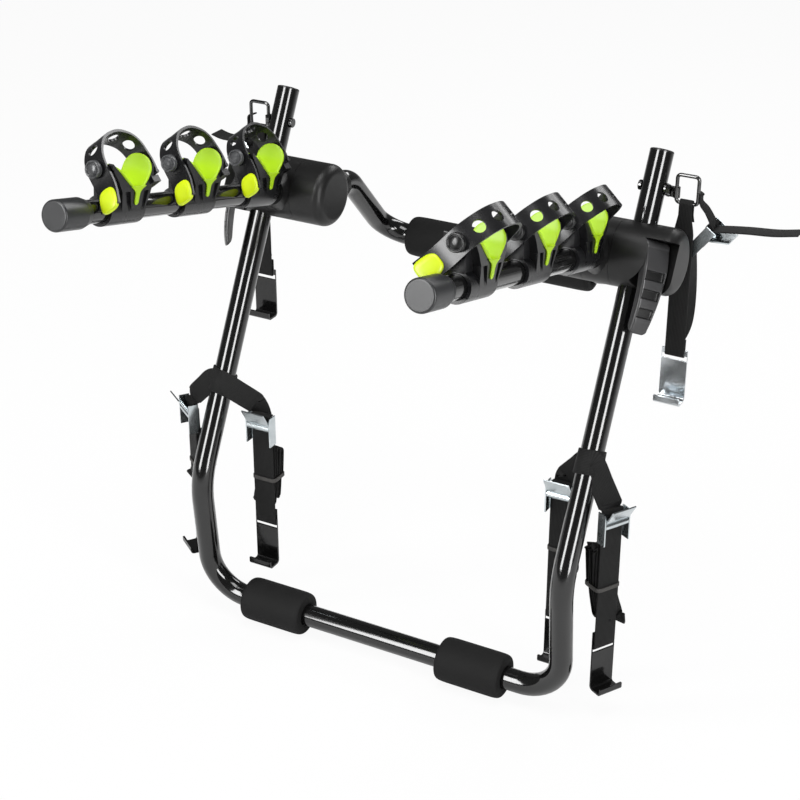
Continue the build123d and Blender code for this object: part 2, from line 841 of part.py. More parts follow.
def between(start, finish):
    """Webbing drawn straight between two cross-sections: place, normal, width direction, width."""
    with BuildPart() as ply:
        for place, normal, wide, width in (start, finish):
            with BuildSketch(Plane(origin=place, x_dir=wide, z_dir=normal)):
                Rectangle(width, web_thick)
        loft(ruled=True)
    return ply.part


def anchor_web(side, inward, plane, band):
    """Webbing round the leg and from there down to the top bar of a buckle."""
    centre = bend_point + across * side * leg_half + leg_up * band
    out = across * side * (-1 if inward else 1)
    inner = tube_r + slide_gap
    root = centre + out * (inner + 2 * web_thick)
    loop_r = buckle_pin_r + cam_gap + web_thick / 2
    finish = bar_place(plane) + up * loop_r
    away = plane.x_dir if plane.x_dir.dot(out) > 0 else -plane.x_dir
    with BuildPart() as web:
        start = root - out * web_thick / 2
        narrow = band_height - 2 * web_turn
        add(between((start, out, leg_up, narrow), (finish, -up, away, web_width - 2 * web_turn)))
        with BuildSketch(Plane(origin=root, x_dir=leg_up, z_dir=out)):
            Rectangle(band_height, 2 * web_thick)
        extrude(amount=-tab_length)
        with BuildSketch(Plane(origin=centre - leg_up * band_height / 2, z_dir=leg_up)):
            Circle(inner + web_thick)
            Circle(inner, mode=Mode.SUBTRACT)
        extrude(amount=band_height)
        add(bar_loop(bar_place(plane), plane.x_dir, buckle_pin_r, web_width))
        add(round_bar(centre, leg_up, inner, overrun, both=True), mode=Mode.SUBTRACT)
        bore = buckle_pin_r + cam_gap
        add(round_bar(bar_place(plane), plane.x_dir, bore, web_width, both=True), mode=Mode.SUBTRACT)
    return web.part


frames, hooks, ties = [], [], []
for step, name in enumerate(strap_names):
    side, yaw, hook_z = strap_sides[step], strap_yaw[step], hook_height[step]
    inward = strap_beside[step] < 0
    place = Vector(side * (leg_half + strap_beside[step]), strap_behind[step], buckle_height[step])
    plane, strip, tie = hanging(place, yaw, bundle_top[step], bundle_foot[step], hook_z)
    frame_part, cam_part, _ = buckle(plane)
    frames.append(frame_part)
    ties.append(tie)
    hooks.append(hook(facing(Vector(place.X, place.Y, hook_z), yaw)))
    band = band_right if side > 0 else band_left
    band += band_apart / 2 if inward else -band_apart / 2
    with BuildPart() as both_webs:
        add(strip)
        add(anchor_web(side, inward, plane, band))
    save(both_webs.part, name)
    save(cam_part, name.replace("strap", "buckle_lever"))

# top anchors: a bolt through each leg carries an eye plate and a wire ring
eye_x = leg_half + tube_r
eye_middle = anchor_point + across * (eye_x + eye_gap) - leg_front * eye_back
ring_middle = eye_middle + up * ring_rise


def top_anchor():
    """The bolt with its nut and the eye plate of the right leg top."""
    seat = anchor_point + across * (leg_half - tube_r)
    with BuildPart() as bolt:
        add(round_bar(seat - across * anchor_head, across, anchor_head_r, anchor_head))
        fillet(bolt.edges().filter_by(GeomType.CIRCLE).sort_by(Axis.X)[0], anchor_head / 3)
        add(round_bar(seat, across, anchor_bolt_r, tube_d + eye_sheet + anchor_head))
        nut_place = anchor_point + across * (eye_x + eye_sheet + pin_gap)
        with BuildSketch(Plane(origin=nut_place, z_dir=across)):
            RegularPolygon(anchor_head_r, 6)
        extrude(amount=anchor_head)
    sleeve_out = ring_wire + eye_sheet
    low = eye_middle - up * eye_sleeve / 2
    plate = Plane(origin=anchor_point + across * eye_x, x_dir=-leg_front, z_dir=across)
    arm_plate = Plane(origin=eye_middle, x_dir=across, z_dir=up)
    with BuildPart() as eye:
        with BuildSketch(plate):
            with Locations((eye_back / 2, 0)):
                SlotCenterToCenter(eye_back, 2 * anchor_head_r + eye_sheet)
        extrude(amount=eye_sheet)
        with BuildSketch(arm_plate):
            with Locations((-eye_gap / 2, 0)):
                Rectangle(eye_gap, sleeve_out)
        extrude(amount=eye_sleeve / 2, both=True)
        add(round_bar(low, up, sleeve_out, eye_sleeve))
        add(round_bar(low, up, ring_wire + pin_gap, eye_sleeve), mode=Mode.SUBTRACT)
        add(round_bar(seat, across, anchor_bolt_r + pin_gap, overrun), mode=Mode.SUBTRACT)
    return bolt.part, eye.part


with BuildPart() as ring:
    with BuildLine(Plane(origin=ring_middle - up * ring_height / 2, x_dir=across, z_dir=(0, -1, 0))):
        corners = [(0, 0), (ring_depth, 0), (ring_depth, ring_height), (0, ring_height)]
        wire = FilletPolyline(*corners, radius=ring_wire * 2, close=True)
    with BuildSketch(Plane(origin=wire @ 0, z_dir=wire % 0)):
        Circle(ring_wire)
    sweep(path=wire)
with BuildPart() as rings:
    add(ring.part)
    add(mirrored(ring.part))
save(rings.part, "anchor_rings")

bolt_part, eye_part = top_anchor()
with BuildPart() as anchors:
    for piece in (bolt_part, eye_part):
        add(piece)
        add(mirrored(piece))
save(anchors.part, "strap_anchors")


def top_strap(hook_z, tail):
    """The right top strap's webbing, hook, buckle frame and buckle lever."""
    ring_low = ring_middle - up * ring_height / 2 + across * ring_depth / 2
    back = web_pitch + ring_wire
    plane = facing(ring_low - Vector(0, back / 2, 0), 0)
    fall = ring_low.Z - hook_z
    neck = ring_wire + web_thick + web_turn
    turn_r = web_pitch / 2 - web_turn
    hang = [(-web_pitch, -fall + sewn_length), (-web_pitch, -fall), (0, -fall), (0, -sewn_length)]
    head = [(0, -sewn_length * 2), (0, neck), (-back, neck), (-back, -sewn_length)]

    slant = Vector(sin(radians(top_slant)), 0, cos(radians(top_slant)))
    wide = Vector(0, 1, 0)
    place = ring_low + Vector(top_buckle_out, top_buckle_back, -top_buckle_drop)
    buckle_plane = Plane(origin=place, x_dir=wide, z_dir=wide.cross(slant))
    exit_dir = Vector(sin(radians(exit_tilt)), cos(radians(exit_tilt)), 0)
    tail_dir = Vector(sin(radians(tail_slant)), cos(radians(tail_slant)), 0)
    lip = Vector(0, buckle_length * lip_share, 0)
    over = lip + exit_dir * tail_over
    end = over + tail_dir * tail
    foot = Vector(0, -buckle_length / 2, 0)
    run = [(p.X, p.Y) for p in (foot, lip, over, end)]

    bow = ring_middle + across * ring_depth + up * (bow_low - ring_height / 2)
    loop_r = ring_wire + cam_gap + web_thick / 2
    bar = bar_place(buckle_plane)
    hook_top = plane.origin - up * (fall - ply_low)
    foot_place = edge_on(buckle_plane).from_local_coords(foot)
    half_way = (foot_place + hook_top) / 2 + Vector(ply_out, ply_back, 0)
    middle = (half_way, up, (across + wide).normalized(), top_web_width)
    with BuildPart() as web:
        add(ribbon(edge_on(plane), hang, turn_r, web_thick, top_web_width))
        add(ribbon(edge_on(plane), head, turn_r, web_thick, top_loop_width))
        add(ribbon(edge_on(buckle_plane), run, [lip_bend, tail_bend], web_thick, top_web_width))
        add(between((hook_top, up, across, top_web_width), middle))
        add(between(middle, (foot_place, slant, wide, top_web_width)))
    with BuildPart() as short_web:
        add(bar_loop(bow + up * bow_height / 2, up, ring_wire, bow_height))
        start = (bow + across * loop_r + up * web_thick, up, wide, top_neck_width)
        add(between(start, (bar + up * loop_r, up, wide, top_web_width)))
        add(bar_loop(bar, wide, buckle_pin_r, top_web_width))
        bore = buckle_pin_r + cam_gap
        add(round_bar(bar, wide, bore, top_web_width, both=True), mode=Mode.SUBTRACT)
    with BuildPart() as webs:
        add(web.part)
        add(short_web.part)
    frame_part, cam_part, _ = buckle(buckle_plane, top_tilt)
    hook_part = hook(facing(Vector(plane.origin.X, plane.origin.Y, hook_z), 0))
    return webs.part, hook_part, frame_part, cam_part


for side, hook_z, tail in (("right", top_hook_right, top_tail_right), ("left", top_hook_left, top_tail_left)):
    pieces = top_strap(hook_z, tail)
    if side == "left":
        pieces = [mirrored(piece) for piece in pieces]
    web_part, hook_part, frame_part, cam_part = pieces
    save(web_part, f"top_strap_{side}")
    save(cam_part, f"top_buckle_lever_{side}")
    hooks.append(hook_part)
    frames.append(frame_part)

for pieces, name in ((frames, "buckle_frames"), (hooks, "strap_hooks"), (ties, "strap_ties")):
    with BuildPart() as group:
        for piece in pieces:
            add(piece)
    save(group.part, name)

print("least gap between folded plies", round(web_pitch - web_thick, 2))
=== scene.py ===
# %% [markdown]
# # A strap-on bicycle rack
# The rack is a bent steel frame with foam pads, two folding arms that carry
# three cradles each, an upper frame, and six webbing straps. The rigid pieces
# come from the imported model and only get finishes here. The soft pieces, which
# a rigid solid can't show well, are made again as surfaces.

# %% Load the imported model
import json
import math

import bpy
import numpy as np
from mathutils import Matrix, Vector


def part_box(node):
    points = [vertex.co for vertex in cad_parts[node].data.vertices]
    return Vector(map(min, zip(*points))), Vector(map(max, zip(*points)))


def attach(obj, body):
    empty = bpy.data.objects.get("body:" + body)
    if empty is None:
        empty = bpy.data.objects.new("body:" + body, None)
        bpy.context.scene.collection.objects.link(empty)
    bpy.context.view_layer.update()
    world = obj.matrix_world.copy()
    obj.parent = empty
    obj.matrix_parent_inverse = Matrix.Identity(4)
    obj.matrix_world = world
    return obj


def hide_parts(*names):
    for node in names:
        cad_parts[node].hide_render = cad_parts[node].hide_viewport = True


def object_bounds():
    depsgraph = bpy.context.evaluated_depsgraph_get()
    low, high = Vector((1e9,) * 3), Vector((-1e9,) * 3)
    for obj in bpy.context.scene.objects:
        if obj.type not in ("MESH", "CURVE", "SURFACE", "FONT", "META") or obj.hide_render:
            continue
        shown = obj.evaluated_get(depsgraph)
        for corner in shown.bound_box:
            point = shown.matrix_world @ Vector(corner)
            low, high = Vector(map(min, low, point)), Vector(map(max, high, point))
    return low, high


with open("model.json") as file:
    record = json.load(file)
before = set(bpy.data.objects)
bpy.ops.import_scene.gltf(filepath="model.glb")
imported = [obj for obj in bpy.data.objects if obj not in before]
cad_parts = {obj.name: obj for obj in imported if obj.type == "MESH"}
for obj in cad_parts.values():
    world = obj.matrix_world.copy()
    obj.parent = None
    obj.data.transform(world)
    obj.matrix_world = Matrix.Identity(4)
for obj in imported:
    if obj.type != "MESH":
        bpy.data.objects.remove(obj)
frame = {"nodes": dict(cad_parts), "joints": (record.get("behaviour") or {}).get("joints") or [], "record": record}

cad_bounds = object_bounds()
nodes = frame["nodes"]
joints = {j["name"]: j for j in frame["joints"]}

# %% [markdown]
# ## Camera
# The photograph was taken from the right and above with a long lens. The
# camera is placed first, so that every later piece can be judged through it.
# The lamps are turned by the same rule: out of their back, level to the right,
# and up.

# %% Camera
view_from, view_to = (0.9108, -1.6042, 1.2713), (0.0303, 0.0, 0.3424)


def unit(v):
    """A vector of length one."""
    v = np.asarray(v, float)
    return v / np.linalg.norm(v)


def look(obj, place, aim):
    """Put a camera or lamp at a place, facing its aim, with its width level."""
    out_dir = unit(np.subtract(place, aim))
    right = unit(np.cross((0, 0, 1), out_dir))
    turn = np.eye(4)
    turn[:3] = np.stack([right, np.cross(out_dir, right), out_dir, place], 1)
    obj.matrix_world = Matrix(turn.tolist())
    bpy.context.scene.collection.objects.link(obj)


camera = bpy.data.objects.new("camera", bpy.data.cameras.new("camera"))
camera.data.lens = 79.4
camera.data.sensor_width = 36.0
camera.data.clip_end = 50.0
look(camera, view_from, view_to)
bpy.context.scene.camera = camera
print("camera lens", round(camera.data.lens, 1), "mm")

# %% [markdown]
# ## Node helpers
# A shader is a small graph. These helpers make a node and feed its inputs,
# each either with a constant or with another node's output, so that a finish
# can be read like a formula.

# %% Node helpers
def feed(tree, value, socket):
    """Give a socket a link when the value is another socket, or else a constant."""
    if isinstance(value, bpy.types.NodeSocket):
        tree.links.new(value, socket)
    else:
        socket.default_value = value


def fill(tree, made, inputs):
    """Feed a node's inputs by name, written with _ for a space."""
    for title, value in inputs.items():
        feed(tree, value, made.inputs[title.replace("_", " ")])
    return made


def new_node(tree, kind, **inputs):
    """A shader node with its inputs fed."""
    return fill(tree, tree.nodes.new("ShaderNode" + kind), inputs)


def blend(tree, factor, first, second):
    """A shader between two others."""
    mix = new_node(tree, "MixShader")
    for value, socket in zip((factor, first.outputs[0], second.outputs[0]), mix.inputs):
        feed(tree, value, socket)
    return mix


def new_material(name):
    """An empty node material, its tree, and the socket that takes its surface."""
    m = bpy.data.materials.new(name)
    m.use_nodes = True
    m.node_tree.nodes.clear()
    return m, m.node_tree, new_node(m.node_tree, "OutputMaterial").inputs["Surface"]

# %% [markdown]
# ## Floor, backdrop and lamps
# The rack stands on a white sweep under soft studio lamps. A white floor that
# is only lit would need strong lamps, which would wash out the rack, so the
# camera sees mostly a white glow there, and the rest is lit floor that keeps
# the shadow. Two of the lamps serve only glossy surfaces: they draw the two
# bright lines down each painted tube.

# %% Floor and light
sweep_white, glow_share = (0.86, 0.86, 0.86, 1), 0.93
floor_gap, floor_reach = 0.001, 9.0
sky_lit, sky_mirrored, sky_seen = 0.42, 0.14, 1.0
rack_middle = (0.0, 0.0, 0.35)
# place and size in metres, power in watts, and the surfaces that the lamp serves
lamps = {
    "key_left": ((-2.2, -1.6, 1.9), (0.7, 2.0), 46, "matt"),
    "fill_right": ((2.6, -0.9, 1.5), (0.6, 1.9), 34, "matt"),
    "stripe_left": ((-1.0, -2.8, 1.75), (1.1, 2.4), 120, "glossy"),
    "stripe_right": ((2.65, -1.5, 1.1), (0.9, 2.2), 90, "glossy"),
    "top_soft": ((0.2, -0.4, 2.9), (1.6, 1.2), 34, "both"),
    "rear_rim": ((0.4, 2.4, 1.8), (1.8, 0.6), 20, "both"),
}


def sweep_material():
    """White studio sweep: a glow for the camera, a lit surface for everything else."""
    m, tree, surface = new_material("studio_sweep")
    lit = new_node(tree, "BsdfDiffuse", Color=sweep_white)
    seen = blend(tree, glow_share, lit, new_node(tree, "Emission", Color=(1, 1, 1, 1)))
    ray = new_node(tree, "LightPath")
    final = blend(tree, ray.outputs["Is Camera Ray"], lit, seen)
    tree.links.new(final.outputs[0], surface)
    return m


def lamp(name, place, size, power, role):
    """A soft rectangular lamp that faces the rack."""
    data = bpy.data.lights.new(name, "AREA")
    data.shape = "RECTANGLE"
    data.size, data.size_y = size
    data.energy = power
    lamp_obj = bpy.data.objects.new(name, data)
    lamp_obj.visible_diffuse = role != "glossy"
    lamp_obj.visible_glossy = role != "matt"
    look(lamp_obj, place, rack_middle)


floor_z = cad_bounds[0][2] - floor_gap
corners = [(x * floor_reach, y * floor_reach, floor_z) for x, y in ((-1, -1), (1, -1), (1, 1), (-1, 1))]
floor_mesh = bpy.data.meshes.new("floor")
floor_mesh.from_pydata(corners, [], [(0, 1, 2, 3)])
floor = bpy.data.objects.new("floor", floor_mesh)
floor.data.materials.append(sweep_material())
bpy.context.scene.collection.objects.link(floor)

for name, spec in lamps.items():
    lamp(name, *spec)

world = bpy.data.worlds.new("studio")
bpy.context.scene.world = world
world.use_nodes = True
sky = world.node_tree
sky.nodes.clear()
lit_sky, mirrored_sky, seen_sky = (
    new_node(sky, "Background", Strength=strength) for strength in (sky_lit, sky_mirrored, sky_seen))
sky_ray = new_node(sky, "LightPath").outputs
all_sky = blend(sky, sky_ray["Is Camera Ray"], blend(sky, sky_ray["Is Glossy Ray"], lit_sky, mirrored_sky),
                seen_sky)
sky.links.new(all_sky.outputs[0], new_node(sky, "OutputWorld").inputs["Surface"])
bpy.context.scene.view_settings.view_transform = "Standard"
print("lamps", len(lamps))

# %% [markdown]
# ## Finishes
# Most of the rack is black, so it is the difference between the blacks that
# tells the pieces apart: gloss paint on the tubes, fine matt grain on the
# moulded hubs, open foam, ribbed webbing. Two effects serve them all. "Mottle"
# spreads a colour and a roughness a little, as on any used surface, and
# "grain" turns noise into a bump.

# %% Shared node groups
def group(name, ins, outs):
    """A node group with named inputs and outputs."""
    g = bpy.data.node_groups.new(name, "ShaderNodeTree")
    for title, kind, value in ins:
        socket = g.interface.new_socket(title, in_out="INPUT", socket_type=kind)
        if value is not None:
            socket.default_value = value
    for title, kind in outs:
        g.interface.new_socket(title, in_out="OUTPUT", socket_type=kind)
    return g, g.nodes.new("NodeGroupInput"), g.nodes.new("NodeGroupOutput")


def math_node(tree, kind, a, b=0.0):
    """The result of one sum."""
    made = tree.nodes.new("ShaderNodeMath")
    made.operation = kind
    feed(tree, a, made.inputs[0])
    feed(tree, b, made.inputs[1])
    return made.outputs[0]


def mix_node(tree, kind, factor, a, b):
    """A mix of two colours or numbers."""
    mix = tree.nodes.new("ShaderNodeMix")
    mix.data_type = kind
    return fill(tree, mix, {"Factor": factor, "A": a, "B": b}).outputs["Result"]


def mottle_group():
    """Colour and roughness that drift slowly over the surface."""
    g, i, o = group(
        "mottle",
        [("Vector", "NodeSocketVector", None), ("Dark", "NodeSocketColor", (0, 0, 0, 1)),
         ("Light", "NodeSocketColor", (1, 1, 1, 1)), ("Scale", "NodeSocketFloat", 20.0),
         ("Rough Low", "NodeSocketFloat", 0.3), ("Rough High", "NodeSocketFloat", 0.4)],
        [("Color", "NodeSocketColor"), ("Roughness", "NodeSocketFloat")],
    )
    given = i.outputs
    drift = new_node(g, "TexNoise", Vector=given["Vector"], Scale=given["Scale"], Detail=4.0).outputs["Fac"]
    g.links.new(mix_node(g, "RGBA", drift, given["Dark"], given["Light"]), o.inputs["Color"])
    span = math_node(g, "SUBTRACT", given["Rough High"], given["Rough Low"])
    part = math_node(g, "MULTIPLY", span, drift)
    g.links.new(math_node(g, "ADD", part, given["Rough Low"]), o.inputs["Roughness"])
    return g


def grain_group():
    """Fine noise as a height, for moulded grain, foam cells and orange peel."""
    g, i, o = group(
        "grain",
        [("Vector", "NodeSocketVector", None), ("Scale", "NodeSocketFloat", 900.0),
         ("Strength", "NodeSocketFloat", 0.2), ("Distance", "NodeSocketFloat", 0.0002)],
        [("Normal", "NodeSocketVector")],
    )
    given = i.outputs
    noise = new_node(g, "TexNoise", Vector=given["Vector"], Scale=given["Scale"], Detail=3.0, Roughness=0.6)
    bump = new_node(g, "Bump", Height=noise.outputs["Fac"], Strength=given["Strength"],
                    Distance=given["Distance"])
    g.links.new(bump.outputs["Normal"], o.inputs["Normal"])
    return g


mottle = mottle_group()
grain = grain_group()


def rgba(tone):
    """A grey level or a colour as an opaque colour."""
    return (*np.broadcast_to(tone, 3).tolist(), 1)


def group_node(tree, shared, **inputs):
    """A use of a shared group with its inputs fed."""
    made = tree.nodes.new("ShaderNodeGroup")
    made.node_tree = shared
    return fill(tree, made, inputs)


def mottled(tree, place, dark, light, rough, scale=20.0):
    """The mottle group's outputs, between two tones and two roughnesses."""
    return group_node(tree, mottle, Vector=place, Dark=rgba(dark), Light=rgba(light), Scale=scale,
                      Rough_Low=rough[0], Rough_High=rough[1]).outputs


def grained(tree, place, scale, strength, depth=0.0002):
    """The grain group's normal."""
    return group_node(tree, grain, Vector=place, Scale=scale, Strength=strength,
                      Distance=depth).outputs["Normal"]


def principled(tree, surface, colour, rough, normal, **plain):
    """One principled shader, joined to the material's surface."""
    shader = new_node(tree, "BsdfPrincipled", Base_Color=colour, Roughness=rough, Normal=normal, **plain)
    tree.links.new(shader.outputs[0], surface)


def finish(name, dark, light, rough, scale, grain_of, **plain):
    """Mottled tones and roughness at a scale, a grain of a scale, strength and depth, and plain values."""
    m, tree, surface = new_material(name)
    place = new_node(tree, "TexCoord").outputs["Object"]
    tone = mottled(tree, place, dark, light, rough, scale)
    principled(tree, surface, tone["Color"], tone["Roughness"], grained(tree, place, *grain_of), **plain)
    return m


moulded = (1200.0, 0.12, 0.0001)
rubbery = (1000.0, 0.12, 0.0001)
gloss_paint = finish("gloss_black_paint", 0.003, 0.006, (0.10, 0.17), 14.0, (500.0, 0.05, 0.00005),
                     Coat_Weight=0.5, Coat_Roughness=0.05)
foam = finish("black_foam", 0.003, 0.008, (0.70, 0.86), 60.0, (1500.0, 0.35, 0.0003),
              Specular_IOR_Level=0.25)
hub_plastic = finish("hub_plastic", 0.005, 0.011, (0.36, 0.46), 25.0, (1800.0, 0.18, 0.00012),
                     Specular_IOR_Level=0.38)
plug_plastic = finish("cap_plastic", 0.006, 0.014, (0.24, 0.34), 30.0, moulded)
cap_face = finish("cap_plastic_grey", (0.016, 0.017, 0.018), (0.032, 0.033, 0.035), (0.30, 0.42), 30.0,
                  moulded)
peg_grey = finish("peg_grey", (0.05, 0.052, 0.055), (0.10, 0.102, 0.106), (0.20, 0.32), 60.0,
                  (900.0, 0.10, 0.0001))
cradle_plastic = finish("cradle_plastic", (0.004, 0.004, 0.005), (0.010, 0.010, 0.011), (0.22, 0.34), 30.0,
                        (1400.0, 0.10, 0.0001))
strap_rubber = finish("strap_rubber", (0.006, 0.006, 0.007), (0.015, 0.015, 0.016), (0.20, 0.32), 30.0,
                      (1100.0, 0.12, 0.0001))
lime_rubber = finish("lime_rubber", (0.36, 0.62, 0.001), (0.50, 0.78, 0.003), (0.36, 0.48), 25.0, rubbery)
yellow_rubber = finish("yellow_rubber", (0.62, 0.82, 0.001), (0.76, 0.92, 0.004), (0.32, 0.44), 25.0,
                       rubbery)
zinc = finish("zinc_plate", (0.46, 0.52, 0.54), (0.76, 0.80, 0.82), (0.14, 0.26), 90.0,
              (300.0, 0.10, 0.0001), Metallic=1.0)
dark_chrome = finish("dark_chrome", 0.06, 0.16, (0.12, 0.22), 60.0, (500.0, 0.10, 0.0001), Metallic=1.0)
elastic = finish("keeper_elastic", (0.030, 0.028, 0.026), (0.062, 0.058, 0.054), (0.6, 0.75), 200.0,
                 (2500.0, 0.4, 0.0002))
print("materials", len(bpy.data.materials))

# %% [markdown]
# ## Where the levers sit
# Above its bend each leg leans back. The lever's pivot lies beside the hub, and
# the lever is turned from the side a little to the front. The hub's place comes
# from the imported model's joints. Places are in millimetres for the right-hand
# side. The levers' finish needs them first, and the webbing uses them again.

# %% Shared places
mm = 0.001
x_dir, y_dir, z_dir = np.eye(3)
leg_half, upper_lean = 250.0, math.radians(27.4)
leg_up = np.array((0, math.sin(upper_lean), math.cos(upper_lean)))
leg_front = np.array((0, -leg_up[2], leg_up[1]))
hub = np.array(joints["arm_right_hinge"]["pos_m"]) * 1000
hub[0] = 0
lever_turn, lever_reach, lever_rise = math.radians(37), 29.0, 10.0
lever_out = x_dir * math.cos(lever_turn) + leg_front * math.sin(lever_turn)
lever_across = leg_front * math.cos(lever_turn) - x_dir * math.sin(lever_turn)
lever_pivot = hub + x_dir * leg_half + lever_out * lever_reach + leg_up * lever_rise
recess_count, recess_first, recess_pitch = 3, 31.0, 21.5
recess_half, recess_taper = 12.8, 1.4
print("hub", hub.round(1), "lever pivot", lever_pivot.round(1))

# %% [markdown]
# ## Finishes that follow a place
# One node holds all the hooks, but the one on the upper right is bare zinc and
# the others are lacquered black, so a mask picks them by place. The levers get
# painted shade, a near-black colour, inside their finger recesses, and that mask
# is a distance to a box in the lever's own axes.

# %% Placed finishes
bare_hook_from = {"X": 0.10, "Z": 0.250}
border_soft = 0.001
# sizes in millimetres of the mask that paints shade into the lever's finger recesses
recess_shade_tall, recess_shade_edge, recess_shade_front = 5.5, (0.4, -0.8), (4.5, 5.5)


def ramp(tree, value, low, high, shape="LINEAR"):
    """0 where a value is at low and 1 where it is at high."""
    made = new_node(tree, "MapRange", Value=value, From_Min=low, From_Max=high)
    made.interpolation_type = shape
    return made.outputs["Result"]


def place_mask(title, border):
    """A group that is 1 where one coordinate lies above a border and 0 below it."""
    g, i, o = group("hook_mask_" + title.lower(), [("Vector", "NodeSocketVector", None)],
                    [("Mask", "NodeSocketFloat")])
    parts = new_node(g, "SeparateXYZ", Vector=i.outputs["Vector"])
    g.links.new(ramp(g, parts.outputs[title], border, border + border_soft), o.inputs["Mask"])
    return g


def hook_material():
    """Black lacquered steel for most hooks, bare zinc for the hook on the upper right."""
    m, tree, surface = new_material("hook_steel")
    place = new_node(tree, "TexCoord").outputs["Object"]
    black = mottled(tree, place, 0.004, 0.010, (0.10, 0.18), 60.0)
    bare = mottled(tree, place, (0.48, 0.52, 0.54), (0.78, 0.80, 0.82), (0.16, 0.28), 60.0)
    is_bare = math_node(tree, "MULTIPLY", *(
        group_node(tree, place_mask(*item), Vector=place).outputs["Mask"] for item in bare_hook_from.items()))
    colour = mix_node(tree, "RGBA", is_bare, black["Color"], bare["Color"])
    rough = mix_node(tree, "FLOAT", is_bare, black["Roughness"], bare["Roughness"])
    principled(tree, surface, colour, rough, grained(tree, place, 400.0, 0.08), Metallic=is_bare)
    return m


def recess_shade_group():
    """Where a point lies in a finger recess, as a mask for the painted shade there. The absolute x lets one group
    serve both levers.
    """
    g, i, o = group("finger_recess_shade", [("Vector", "NodeSocketVector", None)], [("Mask", "NodeSocketFloat")])
    parts = new_node(g, "SeparateXYZ", Vector=i.outputs["Vector"]).outputs
    place = new_node(g, "CombineXYZ", X=math_node(g, "ABSOLUTE", parts["X"]), Y=parts["Y"], Z=parts["Z"])

    def along(axis):
        dot = g.nodes.new("ShaderNodeVectorMath")
        dot.operation = "DOT_PRODUCT"
        feed(g, place.outputs[0], dot.inputs[0])
        feed(g, axis, dot.inputs[1])
        return math_node(g, "SUBTRACT", dot.outputs["Value"], float(lever_pivot @ axis) * mm)

    side, down, total = math_node(g, "ABSOLUTE", along(lever_across)), along(leg_up), 0.0
    for step in range(recess_count):
        level = math_node(g, "ADD", down, (recess_first + recess_pitch * step) * mm)
        far_up = math_node(g, "SUBTRACT", math_node(g, "ABSOLUTE", level), recess_shade_tall * mm)
        far_side = math_node(g, "SUBTRACT", side, (recess_half - recess_taper * step) * mm)
        edge = math_node(g, "MAXIMUM", far_side, far_up)
        inside = ramp(g, edge, recess_shade_edge[0] * mm, recess_shade_edge[1] * mm, "SMOOTHSTEP")
        total = math_node(g, "MAXIMUM", inside, total)
    front = ramp(g, along(lever_out), recess_shade_front[0] * mm, recess_shade_front[1] * mm)
    g.links.new(math_node(g, "MULTIPLY", total, front), o.inputs["Mask"])
    return g


def lever_material():
    """Dark grey moulding with painted shade, a near-black colour, in its finger recesses."""
    m, tree, surface = new_material("lever_plastic")
    place = new_node(tree, "TexCoord").outputs["Object"]
    tone = mottled(tree, place, (0.030, 0.030, 0.031), (0.058, 0.058, 0.060), (0.30, 0.40))
    recess = group_node(tree, recess_shade_group(), Vector=place).outputs["Mask"]
    # painted shade: the colour goes near black where the mask marks a finger recess
    colour = mix_node(tree, "RGBA", recess, tone["Color"], rgba(0.003))
    principled(tree, surface, colour, tone["Roughness"], grained(tree, place, 1600.0, 0.18))
    return m


lever_plastic = lever_material()
hook_steel = hook_material()
finish_of = {
    "frame_paint": gloss_paint, "foam": foam, "hub_plastic": hub_plastic, "lever_plastic": lever_plastic,
    "plug_plastic": plug_plastic, "steel": zinc, "black_steel": zinc, "cradle_plastic": cradle_plastic,
    "liner_rubber": lime_rubber, "strap_rubber": strap_rubber, "webbing": foam,
}
own_finish = {"arm_cap_left": cap_face, "arm_cap_right": cap_face, "strap_hooks": hook_steel,
              "anchor_rings": dark_chrome, "strap_anchors": dark_chrome}
slot_of = {s["node"]: s["material_slot"] for s in frame["record"]["subparts"]}
for name, obj in nodes.items():
    obj.data.materials.clear()
    obj.data.materials.append(own_finish.get(name, finish_of[slot_of[name]]))
print("finishes", len(bpy.data.materials))

# %% [markdown]
# ## Surfaces from grids
# Every new piece is a grid of points worked out at once with numpy. One index
# runs along the piece and the other round it, so a helper that turns such a
# grid into a closed mesh serves them all. A signed power of a sine or cosine
# makes a round section boxier, which suits tapes, tabs and pads.

# %% Grid helpers
def circle(count):
    """Angles once round, evenly spaced."""
    return np.linspace(0, 2 * np.pi, count, endpoint=False)


def signed_power(value, power):
    """sign(x) |x|^p: with p below one a circle's sine and cosine trace a rounded box."""
    return np.sign(value) * np.abs(value) ** power


def direction_of(line):
    """The unit direction of a line at each of its points."""
    step = np.gradient(line, axis=0)
    return step / np.linalg.norm(step, axis=1, keepdims=True)


def run_of(line):
    """How far along a line each of its points lies."""
    return np.concatenate([[0], np.cumsum(np.linalg.norm(np.diff(line, axis=0), axis=1))])


def smooth_line(points, per=8):
    """A Catmull-Rom curve: a cubic from point to point, whose slopes point at their neighbours."""
    p = np.asarray(points, float)
    p = np.vstack([2 * p[0] - p[1], p, 2 * p[-1] - p[-2]])
    a, b, c, d = p[:-3, None], p[1:-2, None], p[2:-1, None], p[3:, None]
    t = (np.arange(per) / per)[None, :, None]
    slope, curve, twist = c - a, 2 * a - 5 * b + 4 * c - d, 3 * b - a - 3 * c + d
    cubic = 0.5 * (2 * b + slope * t + curve * t**2 + twist * t**3)
    return np.vstack([cubic.reshape(-1, p.shape[1]), p[-2:-1]])


